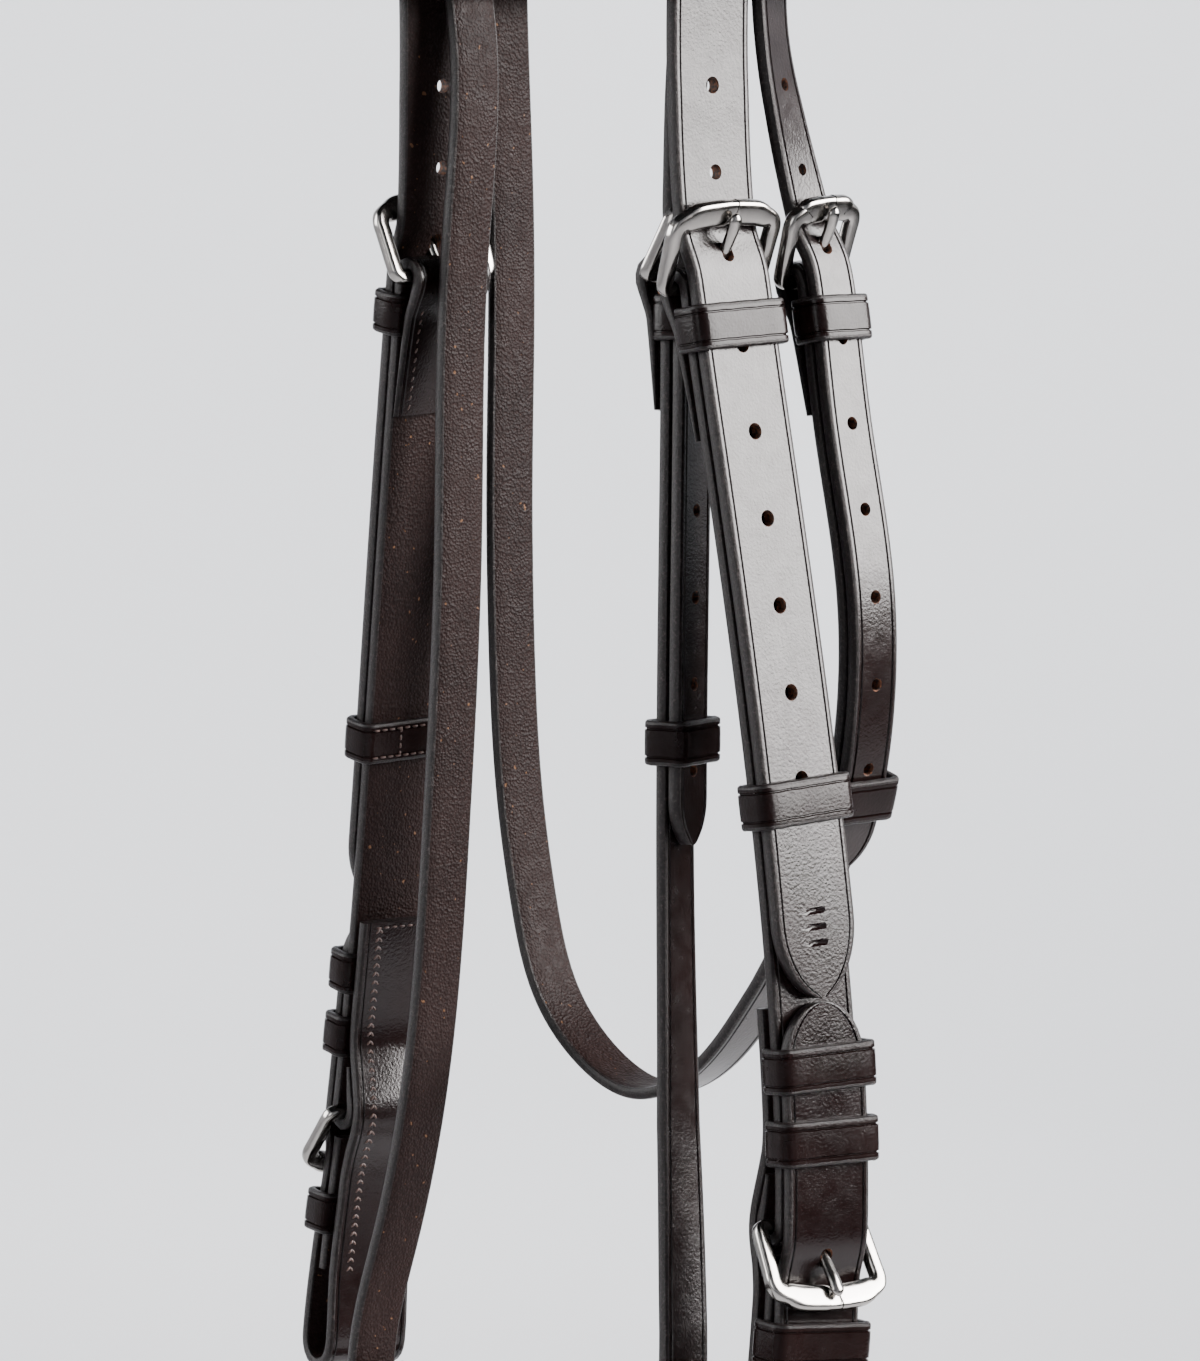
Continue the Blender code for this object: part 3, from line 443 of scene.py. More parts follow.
def throat_route():
    """From the poll down the near side, under the throat and up the off side."""
    near = [(46, 18.6, -48, 1, 0.35, 0), (47.5, 20.3, -72, 1, 0.35, 0),
            (53, 27.5, -108, 1, 0.1, 0), (60, 28, -145, 1, 0, 0), (66.5, 29, -180, 1, 0, 0),
            (65.5, 30, -212, 1, 0, 0), (58, 30, -240, 1, 0, -0.4), (45, 28, -265, 1, 0, -0.8),
            (34, 28, -279, 0.7, 0, -1), (18, 27, -296, 0.5, 0, -1), (0, 25.5, -304, 0, 0, -1),
            (-18, 25.2, -300, -0.5, 0, -1), (-33.4, 24, -286, -1, 0, -0.8),
            (-41, 23, -264, -1, 0, -0.3), (-44.6, 22, -241, -1, 0, 0),
            (-46.6, 21, -203, -1, 0, 0), (-47.6, 21.3, -165, -1, 0, 0),
            (-48.4, 22.6, -128, -1, 0, 0), (-48.6, 22.6, -100, -1, 0, 0),
            (-47.6, 20.4, -64, -1, 0, 0), (-47, 18.9, -30, -1, 0, 0)]
    return Route(arch(32, THROAT_SHIFT / MM) + near)


def chin_route():
    """From the near cheek backward under the jaw to the off cheek."""
    near = [(57.3, -7.5, -395.5, 1, 0, 0), (57.8, 20, -397.8, 1, 0, 0),
            (58, 42, -399.7, 1, 0, 0), (57.6, 58, -401.2, 1, 0.1, 0),
            (51.5, 71.5, -404.5, 0.8, 0.6, 0), (37, 81, -408, 0.4, 0.9, 0),
            (19, 86.5, -410.5, 0.2, 1, 0)]
    off = [(-x, y, z, -a, b, c) for x, y, z, a, b, c in reversed(near)]
    return Route(near + [(0, 88, -411.5, 0, 1, 0)] + off)


def nose_piece_route():
    """Level curve round the nose, from behind the near cheek to behind the off cheek."""
    near = [(51.6, 10, -397, 1, 0, 0), (52, 0, -396, 1, 0, 0), (52, -15, -394, 1, 0, 0),
            (50.5, -50, -387, 1, -0.15, 0), (41, -86, -377, 1, -0.8, 0.1),
            (22, -109, -369, 0.4, -1, 0.2)]
    off = [(-x, y, z, -a, b, c) for x, y, z, a, b, c in reversed(near)]
    rear = [(-51.8, 34, -400, -1, 0, 0)]
    return Route(near + [(0, -116, -366, 0, -1, 0.2)] + off + rear)


# ---------------------------------------------------------------- paths of layers

def arc_path(s, n, radius, start, end, steps=16):
    """Pairs (s, n) on an arc; 0 degrees points outward and 90 degrees along the route."""
    pairs = []
    for i in range(steps + 1):
        turn = math.radians(start + (end - start) * i / steps)
        pairs.append((s + radius * math.sin(turn), n + radius * math.cos(turn)))
    return pairs


def with_thickness(pairs, thickness):
    return [p if len(p) == 3 else (*p, thickness) for p in pairs]


def resampled(rows, step):
    """Rows of numbers at even steps of distance in their first two columns."""
    rows = np.array(rows, float)
    gaps = np.hypot(np.diff(rows[:, 0]), np.diff(rows[:, 1]))
    run = np.concatenate([[0.0], np.cumsum(gaps)])
    count = max(2, int(round(run[-1] / step)) + 1)
    at = np.linspace(0, run[-1], count)
    return np.stack([np.interp(at, run, rows[:, k]) for k in range(rows.shape[1])], axis=1)


def softened(rows, reach, step):
    """Round the corners of a path over a distance, keeping its two ends."""
    count = int(round(reach / step))
    if count < 1:
        return rows
    weights = np.exp(-0.5 * (np.arange(-2 * count, 2 * count + 1) / count) ** 2)
    weights /= weights.sum()
    padded = np.concatenate([2 * rows[:1] - rows[2 * count:0:-1], rows,
                             2 * rows[-1:] - rows[-2:-2 * count - 2:-1]])
    smooth = np.stack([np.convolve(padded[:, k], weights, "valid") for k in range(rows.shape[1])],
                      axis=1)
    return smooth


def layer_path(path, thickness, soften=1.0 * MM, tips=(), width=0.0):
    """Close, even stations (s, n, thickness) along a layer's path."""
    fine = resampled(with_thickness(path, thickness), 0.25 * MM)
    fine = softened(fine, soften, 0.25 * MM)
    rows = resampled(fine, STATION)
    for end in tips:
        rows = crowd_tip(rows, end, width)
    return rows


def crowd_tip(rows, end, width):
    """Extra stations near a pointed end."""
    first = rows[0] if end == "start" else rows[-1]
    inner = rows[1] if end == "start" else rows[-2]
    sign = 1 if inner[0] > first[0] else -1
    extra = [(first[0] + sign * width * t, first[1], first[2]) for t in (0.008, 0.022, 0.042)]
    if end == "start":
        return np.concatenate([rows[:1], extra, rows[1:]])
    return np.concatenate([rows[:-1], extra[::-1], rows[-1:]])


def wrap_path(s, heading, tail):
    """A ply's turned end: skived tail behind, round the pivot bar, to the front."""
    behind = BAR_OUT - WRAP_RADIUS
    path = []
    if tail > 20 * MM:
        path += [(s + heading * tail, -3.9 * MM, 1.0 * MM),
                 (s + heading * 16 * MM, -5.0 * MM, 1.8 * MM),
                 (s + heading * 9 * MM, -5.7 * MM, 2.0 * MM)]
    else:
        path += [(s + heading * tail, -5.6 * MM, 1.2 * MM)]
    path += [(s + heading * 4.5 * MM, -7.2 * MM, 2.3 * MM),
             (s + heading * 1.5 * MM, behind, PLY_THICK)]
    for d, n in arc_path(0, BAR_OUT, WRAP_RADIUS, 180, 360):
        path.append((s + heading * d, n, PLY_THICK))
    path.append((s + heading * 4 * MM, PLY_OUT, PLY_THICK))
    return path


def billet_path(s, heading):
    """The outer strap's way under the outer bar and over the pivot bar."""
    return [(s - heading * d * MM, n * MM, BILLET_THICK)
            for d, n in ((22, -0.7), (14.5, -0.95), (10.5, -0.7), (7, 0.5), (3.5, 1.55), (0, 1.75))]


# ---------------------------------------------------------------- straps

def tip_width(left, width, reach, power):
    """Width of a pointed or rounded strap end at a distance from its tip."""
    if left >= reach * width:
        return width
    return width * (TIP_BLUNT + (1 - TIP_BLUNT) * (1 - (1 - left / (reach * width)) ** 2) ** power)


def strap_section(width, thick):
    """Outline (u, v) of a strap with round edges and a crease line inside each edge."""
    half = width / 2
    t = thick / 2
    k = min(1.0, half / (3 * MM))
    line = half - 1.9 * MM * k
    deep = CREASE_DEPTH * k
    side = [(half, 0.0), (half - 0.1 * MM * k, 0.45 * t), (half - 0.32 * MM * k, 0.8 * t),
            (half - 0.75 * MM * k, 0.975 * t), (half - 1.1 * MM * k, t),
            (line + 0.34 * MM * k, t), (line + 0.1 * MM * k, t - deep),
            (line - 0.1 * MM * k, t - deep), (line - 0.34 * MM * k, t), (line * 0.55, t)]
    top = side + [(0.0, t)] + [(-u, v) for u, v in reversed(side)]
    under = [(-half + 0.1 * MM * k, -0.5 * t), (-half + 0.35 * MM * k, -0.85 * t),
             (-half + 0.8 * MM * k, -t), (-half * 0.4, -t), (0.0, -t)]
    low = under + [(-u, v) for u, v in reversed(under[:-1])]
    return top + low


EDGE_SPAN = 4


def section_zones(count):
    """Material of each segment of the section."""
    top = 21
    zones = []
    for i in range(count):
        if EDGE_SPAN <= i < top - 1 - EDGE_SPAN:
            zones.append(GRAIN)
        elif top + 2 <= i < count - 3:
            zones.append(FLESH)
        else:
            zones.append(EDGE)
    return zones


def strap_rings(route, rows, width, tips=(), shift=0.0, grain=1, tip=POINTED):
    """Rings of points for a strap along stations (s, n, thickness)."""
    spots = [Vector(route.point(s, n)) for s, n, _ in rows]
    run = [0.0]
    for a, b in zip(spots, spots[1:]):
        run.append(run[-1] + (b - a).length)
    rings = []
    for i, (s, _, thick) in enumerate(rows):
        before = spots[max(i - 1, 0)]
        after = spots[min(i + 1, len(spots) - 1)]
        across = Vector(route.frame(s)[3])
        along = (after - before).normalized()
        normal = route.front_sign * grain * across.cross(along).normalized()
        wide = width
        for end in tips:
            left = run[i] if end == "start" else run[-1] - run[i]
            wide = min(wide, tip_width(left, width, *tip))
        centre = spots[i] + across * shift
        rings.append([centre + across * u + normal * v
                      for u, v in strap_section(wide, thick)])
    return rings


def skin(bm, rings, zones, closed=False):
    """Quads between rings, with fan caps, and the zone of each segment as its material."""
    rows = [[bm.verts.new(p) for p in ring] for ring in rings]
    pairs = list(zip(rows, rows[1:]))
    if closed:
        pairs.append((rows[-1], rows[0]))
    else:
        for row in (rows[0], rows[-1]):
            cap = bm.faces.new(row)
            cap.material_index = EDGE
    for low, high in pairs:
        count = len(low)
        for i in range(count):
            j = (i + 1) % count
            face = bm.faces.new((low[i], low[j], high[j], high[i]))
            face.material_index = zones[i] if zones else 0


def link_object(name, data):
    """A new object of the scene with this data."""
    made = bpy.data.objects.new(name, data)
    bpy.context.scene.collection.objects.link(made)
    return made


def make_piece(name, bm, mats, replaces, body="root", sharp=38):
    """Turn a bmesh into a finished piece riding on a body."""
    bmesh.ops.recalc_face_normals(bm, faces=bm.faces)
    mesh = bpy.data.meshes.new(name)
    bm.to_mesh(mesh)
    bm.free()
    for mat in mats:
        mesh.materials.append(mat)
    mesh.shade_smooth()
    mesh.set_sharp_from_angle(angle=math.radians(sharp))
    piece = link_object(name, mesh)
    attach(piece, body)
    if replaces:
        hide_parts(*replaces)
    return piece


def leather_mats(outer="grain", inner="flesh"):
    return [MATS[outer], MATS["edge"], MATS[inner], MATS["rim"]]


def strap(name, route, path, width, thickness, replaces=(), tips=(), grain=1, holes=(),
          soften=1.0 * MM, mats=None, tip=POINTED):
    """One layer of leather as a finished piece."""
    rows = layer_path(path, thickness, soften, tips, width)
    rings = strap_rings(route, rows, width, tips, grain=grain, tip=tip)
    bm = bmesh.new()
    skin(bm, rings, section_zones(len(rings[0])))
    piece = make_piece(name + "_leather", bm, mats or leather_mats(), replaces)
    if holes:
        punch(piece, route, holes)
    return piece


def hole_rings(centre, long_axis, across, out, length, width, depth, sides=20):
    """A punch: a straight oval with a slightly wider mouth at the outer face."""
    reach = max(length - width, 0) / 2
    rings = []
    mouth = depth / 2
    for level, grow in ((mouth + 1.5 * MM, 0.16 * MM), (mouth, 0.16 * MM), (mouth - 0.2 * MM, 0.02 * MM),
                        (mouth - 0.5 * MM, 0), (-mouth - 2 * MM, 0)):
        ring = []
        for i in range(sides):
            turn = 2 * math.pi * (i + 0.5) / sides
            radius = width / 2 + grow
            along = math.sin(turn) * radius + (reach if math.sin(turn) > 0 else -reach)
            ring.append(centre + out * level + long_axis * along + across * math.cos(turn) * radius)
        rings.append(ring)
    return rings


def punch_tool(route, holes):
    """One mesh of every punch; raw leather with painted shade on the holes' walls, and the darker lining
    leather in the stamped bars as painted shade.
    """
    bm = bmesh.new()
    stamped = []
    for s, n, length, width, thick in holes:
        place, along, out, across = route.vectors(s)
        if thick == STAMPED:
            top = hole_rings(place + (n + 1 * MM) * out, across, along, out, width, length, 0)[-2]
            middle = sum(top, Vector()) / len(top)
            stamped.append([[middle.lerp(p, size) + out * (0.5 * MM + level) for p in top]
                            for level, size in ((1 * MM, 1), (-1 * MM, 1),
                                                (-1 * MM - STAMP_DEPTH, 0.3))])
        else:
            skin(bm, hole_rings(place + n * out, along, across, out, length, width, thick), None)
    bmesh.ops.recalc_face_normals(bm, faces=bm.faces)
    for face in bm.faces:
        face.material_index = 0
        face.smooth = True
    for rings in stamped:
        old = set(bm.faces)
        skin(bm, rings, None)
        for face in set(bm.faces) - old:
            face.material_index = 1
    bmesh.ops.recalc_face_normals(bm, faces=bm.faces)
    mesh = bpy.data.meshes.new("punch")
    bm.to_mesh(mesh)
    bm.free()
    mesh.materials.append(MATS["rim"])
    # The lining leather in the stamped bars is painted shade: a darker leather in the grooves.
    mesh.materials.append(MATS["lining"])
    return link_object("punch", mesh)


def punch(piece, route, holes):
    """Cut holes (s, n, length, width, thickness) into a piece."""
    tool = punch_tool(route, holes)
    cut = piece.modifiers.new("cut", "BOOLEAN")
    cut.operation = "DIFFERENCE"
    cut.solver = "EXACT"
    cut.material_mode = "TRANSFER"
    cut.object = tool
    graph = bpy.context.evaluated_depsgraph_get()
    result = bpy.data.meshes.new_from_object(piece.evaluated_get(graph))
    piece.modifiers.clear()
    piece.data = result
    result.set_sharp_from_angle(angle=math.radians(30))
    bpy.data.objects.remove(tool)


# ---------------------------------------------------------------- keepers

def rounded_outline(half_wide, low, high, corner, per_corner=5):
    """Points (across, out) with their outward directions, round a rectangle."""
    points = []
    centres = ((half_wide - corner, high - corner, 0), (-half_wide + corner, high - corner, 90),
               (-half_wide + corner, low + corner, 180), (half_wide - corner, low + corner, 270))
    for x, y, start in centres:
        for i in range(per_corner + 1):
            turn = math.radians(start + 90 * i / per_corner)
            points.append((x + corner * math.cos(turn), y + corner * math.sin(turn),
                           math.cos(turn), math.sin(turn)))
    return points


def split_long(points, longest):
    """Add points on the long straight runs of a closed outline."""
    full = []
    for a, b in zip(points, points[1:] + points[:1]):
        count = max(1, int(math.hypot(b[0] - a[0], b[1] - a[1]) / longest))
        for i in range(count):
            t = i / count
            full.append(tuple(a[k] + (b[k] - a[k]) * t for k in range(4)))
    return full


def keeper_profile(tall, grooves=True):
    """Closed profile (height, depth share) of a keeper's strip, outer face first."""
    h = tall / 2
    deep = 0.24 if grooves else 0.0
    line = h - 1.9 * MM
    outer = [(-h, 0.55), (-h + 0.12 * MM, 0.8), (-h + 0.4 * MM, 0.96), (-h + 0.9 * MM, 1.0),
             (-line - 0.3 * MM, 1.0), (-line - 0.08 * MM, 1 - deep), (-line + 0.08 * MM, 1 - deep),
             (-line + 0.3 * MM, 1.02), (-line * 0.4, 1.04)]
    upper = [(-a, d) for a, d in reversed(outer)]
    inner = [(h - 0.15 * MM, 0.15), (h - 0.5 * MM, 0.0), (-h + 0.5 * MM, 0.0), (-h + 0.15 * MM, 0.15)]
    return outer + upper + inner


def keeper(name, route, s, low, high, width, room=KEEPER_ROOM, back=KEEPER_BACK, tall=KEEPER_TALL,
           body="root", skew=0.0):
    """A creased leather loop round the layers between two distances outward."""
    half = width / 2 + room - 0.03 * MM
    outline = rounded_outline(half, low - room + 0.03 * MM, high + room - 0.03 * MM, 0.9 * MM)
    outline = split_long(outline, 2.2 * MM)
    place, along, out, across = route.vectors(s)
    profile = keeper_profile(tall)
    rings = []
    for i, (x, y, nx, ny) in enumerate(outline):
        behind = max(0.0, -ny)
        thick = KEEPER_THICK * 0.94 * (1 - behind) + back * 0.95 * behind
        uneven = 0.12 * MM * math.sin(2.3 * i + s * 900)
        ring = []
        for h, d in profile:
            away = thick * d
            ring.append(place + across * (x + nx * away) + out * (y + ny * away)
                        + along * (h + uneven * 0.5 + skew * x))
        rings.append(ring)
    count = len(profile)
    zones = [GRAIN if 3 <= i < 14 else FLESH if i == count - 3 else EDGE for i in range(count)]
    bm = bmesh.new()
    skin(bm, rings, zones, closed=True)
    return make_piece(name + "_leather", bm, leather_mats("keeper"), (name,), body=body)


# ---------------------------------------------------------------- steel

def periodic(points, per_span=6):
    """Closed smooth curve through rows of numbers (Catmull-Rom)."""
    rows = np.array(points, float)
    count = len(rows)
    out = []
    for i in range(count):
        p0, p1, p2, p3 = (rows[(i + k) % count] for k in (-1, 0, 1, 2))
        for t in np.arange(per_span) / per_span:
            out.append(0.5 * ((2 * p1) + (-p0 + p2) * t + (2 * p0 - 5 * p1 + 4 * p2 - p3) * t ** 2
                              + (-p0 + 3 * p1 - 3 * p2 + p3) * t ** 3))
    return np.array(out)


def frame_outline(width):
    """Stations round a buckle: (x, y, half width, half thickness) of the metal."""
    half = width / 2 + 0.9 * MM + SIDE_WIDE / 2
    bar = BAR_RADIUS * 0.97
    side = SIDE_WIDE / 2
    outer = 0.6 * OUTER_BAR_WIDE
    thick = OUTER_BAR_THICK / 2
    flare = 0.5 * MM
    corner = 2.2 * MM
    bulge = 0.06 * width
    long = BUCKLE_LONG - 0.5 * MM
    right = [(0, 0, bar, bar), (half * 0.5, 0, bar, bar), (half - 1.25 * corner, 0, bar, bar),
             (half - 0.55 * corner, 0.1 * corner, 1.02 * bar, bar),
             (half - 0.12 * corner, 0.5 * corner, side * 0.98, thick),
             (half, corner * 1.3, side, thick),
             (half + flare * 0.4, long * 0.42, side, thick),
             (half + flare * 0.8, long - 2.4 * corner, side, thick),
             (half + flare, long - 1.35 * corner, side * 1.03, thick),
             (half + flare - 0.25 * corner, long - 0.6 * corner, 1.1 * side, thick),
             (half + flare - 0.85 * corner, long - 0.16 * corner, 1.2 * side, thick),
             (half + flare - 1.6 * corner, long + 0.02 * corner, outer * 0.9, thick),
             (half * 0.6, long + bulge * 0.6, outer, thick),
             (half * 0.3, long + bulge * 0.9, outer, thick), (1.6 * MM, long + bulge, outer, thick),
             (1.1 * MM, long + bulge + 0.1 * MM, outer * 0.93, thick * 0.86)]
    left = [(-x, y, w, t) for x, y, w, t in right[:0:-1]]
    return right + left


def metal_section(wide, thick, sides=20):
    """Rounded section of a buckle's metal, flatter on its outer face."""
    points = []
    for k in range(sides):
        turn = 2 * math.pi * (k + 0.5) / sides
        c, s = math.cos(turn), math.sin(turn)
        u = math.copysign(abs(c) ** 0.5, c) * wide
        v = math.copysign(abs(s) ** 0.62, s) * thick
        points.append((u, v))
    return points


def buckle(base, route, s, heading, width):
    """Frame and prong of one buckle, in finished metal."""
    place, along, out, _ = route.vectors(s)
    away = -heading * along
    reach = away * math.cos(BUCKLE_TILT) + out * math.sin(BUCKLE_TILT)
    face = out * math.cos(BUCKLE_TILT) - away * math.sin(BUCKLE_TILT)
    side = reach.cross(face)
    matrix = Matrix((side, reach, face)).transposed().to_4x4()
    matrix.translation = place + out * BAR_OUT
    stations = periodic(frame_outline(width), 8)
    rings = []
    count = len(stations)
    for i in range(count):
        x, y, wide, thick = stations[i]
        step = stations[(i + 1) % count] - stations[i - 1]
        run = Vector((step[0], step[1], 0)).normalized()
        aside = Vector((run.y, -run.x, 0))
        rings.append([matrix @ (Vector((x, y, 0)) + aside * u + Vector((0, 0, v)))
                      for u, v in metal_section(wide, thick)])
    bm = bmesh.new()
    skin(bm, rings, None, closed=True)
    make_piece(base + "_buckle_steel", bm, [MATS["steel"]], (base + "_buckle_frame",),
               base + "_frame", 50)
    prong(base, matrix)


def prong(base, matrix, sides=14):
    """The tongue: curled round the pivot bar, through the hole, over the outer bar."""
    curl = [(PRONG_CURL * math.cos(math.radians(a)), PRONG_CURL * math.sin(math.radians(a)))
            for a in range(-280, 25, 15)]
    over = OUTER_BAR_THICK / 2 + 0.1 * MM + PRONG_RADIUS
    tongue = [(5.2 * MM, 1.35 * MM), (7.8 * MM, 1.6 * MM), (11.5 * MM, 2.35 * MM),
              (BUCKLE_LONG - 2.4 * MM, over), (BUCKLE_LONG + 0.3 * MM, over + 0.1 * MM),
              (BUCKLE_LONG + 1.7 * MM, over)]
    rows = resampled(softened(resampled(curl + tongue, 0.1 * MM), 0.7 * MM, 0.1 * MM), 0.5 * MM)
    rings = []
    last = len(rows) - 1
    for i, (y, z) in enumerate(rows):
        before = rows[max(i - 1, 0)]
        after = rows[min(i + 1, last)]
        run = Vector((0, after[0] - before[0], after[1] - before[1])).normalized()
        away = Vector((0, -run.z, run.y))
        left = (last - i) * 0.5 * MM
        end = min(1.0, math.sqrt(max(left, 0.06 * MM) / (1.3 * MM)))
        start = min(1.0, math.sqrt(max(i * 0.5 * MM, 0.06 * MM) / (1.0 * MM)))
        waist = 1.0 if y < 6 * MM else 1.0 + 0.3 * min(1, (y - 6 * MM) / (8 * MM))
        rings.append([matrix @ (Vector((0, y, z))
                      + Vector((1, 0, 0)) * PRONG_RADIUS * waist * end * start
                      * math.cos(2 * math.pi * k / sides)
                      + away * PRONG_RADIUS * 0.82 * end * start * math.sin(2 * math.pi * k / sides))
                      for k in range(sides)])
    bm = bmesh.new()
    skin(bm, rings, None)
    for face in bm.faces:
        face.material_index = 0
    make_piece(base + "_prong_steel", bm, [MATS["steel"]], (base + "_buckle_prong",),
               base + "_prong", 60)


# ---------------------------------------------------------------- stitching

def add_stitch(bm, centre, run, face, length, radius):
    """One raised stitch: a short tapering bead lying on the leather."""
    aside = run.cross(face).normalized()
    rings = []
    for t, size in ((-0.5, 0.25), (-0.36, 0.8), (0.0, 1.0), (0.36, 0.8), (0.5, 0.25)):
        dip = -radius * 0.75 * (abs(t) * 2) ** 3
        middle = centre + run * t * length + face * dip
        rings.append([middle + (aside * math.cos(a) + face * math.sin(a)) * radius * size
                      for a in (math.radians(60 * k) for k in range(6))])
    skin(bm, rings, None)


def stitch_row(bm, route, s_list, n_of, u, grain, length=1.75 * MM, radius=0.34 * MM, slant=0.0,
               herring=False):
    """A row of stitches along a strap at distance u from its middle."""
    for s in s_list:
        place, along, out, across = route.vectors(s)
        face = out * grain
        centre = place + out * n_of(s) + across * u
        if herring:
            for sign in (1, -1):
                run = (along * 0.72 + across * sign * 0.69).normalized()
                shift = across * (sign * 0.42 * MM)
                add_stitch(bm, centre + shift, run, face, length, radius)
        else:
            run = (along + across * slant).normalized()
            add_stitch(bm, centre, run, face, length, radius)


def cross_row(bm, route, s, n, half, grain, pitch=2.2 * MM, length=1.7 * MM, radius=0.32 * MM):
    """A row of stitches across a strap."""
    place, _, out, across = route.vectors(s)
    count = int(2 * half / pitch)
    for i in range(count + 1):
        u = -half + 2 * half * i / count
        add_stitch(bm, place + out * n + across * u, across, out * grain, length, radius)


def steps(start, end, pitch):
    count = max(1, int(abs(end - start) / pitch))
    return [start + (end - start) * i / count for i in range(count + 1)]


def finish_stitches(name, bm):
    for face in bm.faces:
        face.material_index = 0
    return make_piece(name, bm, [MATS["thread"]], (), "root", 80)


# ---------------------------------------------------------------- the bridle's pieces

def side_name(side):
    return "near" if side > 0 else "off"


def hole(s, n, radius, thick=BILLET_THICK):
    return (s, n, 2 * radius, 2 * radius, thick)


def prong_hole(s, heading, thick=BILLET_THICK):
    """The hole in use, drawn a little long by the prong."""
    return (s - heading * 6.9 * MM, 0.95 * MM, 4.2 * MM, 3.1 * MM, thick)


def cheek_billet(side, route):
    """Cheek half of the headpiece, from the poll to its pointed tip."""
    pivot = route.at_height(TOP_BUCKLE)
    tip = route.at_height(CHEEK_TIP)
    holes = [prong_hole(pivot, 1)]
    for i in range(9):
        if i != 2:
            s = route.at_height(FIRST_HOLE - i * HOLE_STEP)
            holes.append(hole(s, -0.1 * MM if i < 2 else BILLET_OUT, HOLE_RADIUS))
    path = [(route.at_height(-34 * MM), 0.0, BILLET_THICK),
            (pivot - 40 * MM, 0.0, BILLET_THICK)] + billet_path(pivot, 1)
    path += [(tip, BILLET_OUT, BILLET_THICK)]
    if side > 0:
        face = BILLET_OUT + BILLET_THICK / 2
        holes += [(tip - d * MM, face, 1.5 * MM, 5.4 * MM, STAMPED) for d in (12, 15.5, 19)]
    strap(side_name(side) + "_cheek_billet", route, path, CHEEK_WIDTH, BILLET_THICK,
          ("headpiece",), ("end",), holes=holes, soften=1.6 * MM)


def crown(routes):
    """The wide part of the headpiece over the poll."""
    width = CHEEK_WIDTH + CROWN_SLIT + SLIM_WIDTH
    shift = -(width - CHEEK_WIDTH) / 2
    thick = BILLET_THICK + 0.1 * MM
    halves = []
    for route in (routes[1], routes[-1]):
        rows = layer_path([(0.0, 0.0), (route.at_height(-41 * MM), 0.0)], thick)
        halves.append(strap_rings(route, rows, width, (), shift))
    near_rings, off_rings = halves
    bm = bmesh.new()
    skin(bm, near_rings[::-1] + off_rings[1:], section_zones(len(near_rings[0])))
    make_piece("crown_leather", bm, leather_mats(), ("headpiece",))


def throat_parts(route):
    """Near throat billet of the headpiece, and the throatlash with its buckle."""
    pivot = route.at_height(THROAT_BUCKLE)
    holes = [prong_hole(pivot, 1)]
    for i in range(9):
        if i != 2:
            s = pivot + (i - 2) * SLIM_HOLE_STEP - 5 * MM
            holes.append(hole(s, -0.1 * MM if i < 2 else BILLET_OUT, SLIM_HOLE_RADIUS))
    path = [(route.at_height(-34 * MM), 0.0, BILLET_THICK), (pivot - 38 * MM, 0.0, BILLET_THICK)]
    path += billet_path(pivot, 1) + [(pivot + 133 * MM, BILLET_OUT, BILLET_THICK)]
    strap("throat_billet", route, path, SLIM_WIDTH, BILLET_THICK, ("headpiece",), ("end",),
          holes=holes, soften=1.6 * MM)
    heights = route.places[:, 2]
    lowest = int(np.argmin(heights))
    end = float(np.interp(BROW_LOW + 15 * MM, heights[lowest:], route.lengths[lowest:]))
    under = pivot + 138 * MM
    path = wrap_path(pivot, 1, 30 * MM) + [(under, PLY_OUT), (under + 30 * MM, 0.0), (end, 0.0)]
    strap("throatlash", route, path, SLIM_WIDTH, PLY_THICK, ("throatlash",), soften=0.6 * MM,
          holes=[strap_slot(pivot, 1)])
    buckle("throatlash", route, pivot, 1, SLIM_WIDTH)
    slim_keepers("throatlash", route, pivot + 9.5 * MM, route.at_height(-227.5 * MM))


def strap_slot(s, heading):
    """The slot in a turned ply that the prong works in."""
    return (s - heading * 0.5 * MM, -5 * MM, 13 * MM, 3.6 * MM, 12 * MM)


def cheekpiece(side, route):
    name = side_name(side)
    top = route.at_height(TOP_BUCKLE)
    bit = route.at_height(BIT_BUCKLE)
    path = wrap_path(top, 1, 33 * MM) + wrap_path(bit, -1, 11.5 * MM)[::-1]
    strap(name + "_cheekpiece", route, path, CHEEK_WIDTH, PLY_THICK, (name + "_cheekpiece",),
          soften=0.6 * MM, holes=[strap_slot(top, 1), strap_slot(bit, -1)])
    buckle(name + "_top", route, top, 1, CHEEK_WIDTH)
    buckle(name + "_bit", route, bit, -1, CHEEK_WIDTH)


def lining_path(route):
    """Inner ply of the bit end: (s, n) from its top down to the start of the fold."""
    bar = route.at_height(BIT_BUCKLE)
    fold = route.at_height(FOLD_BOTTOM) - 5.5 * MM - BIT_THICK / 2
    return [(route.at_height(LINING_TOP), -5.8 * MM), (bar - 22 * MM, -5.8 * MM),
            (bar - 17 * MM, -6.3 * MM), (bar - 13 * MM, -7.6 * MM), (bar - 9 * MM, -9.0 * MM),
            (bar - 4 * MM, -10.6 * MM), (bar, -11.3 * MM),
            (bar + 4 * MM, -11.0 * MM), (bar + 9 * MM, -9.6 * MM), (bar + 15 * MM, -8.7 * MM),
            (route.at_height(STITCH_END), -8.8 * MM), (fold - 5 * MM, -10 * MM)]


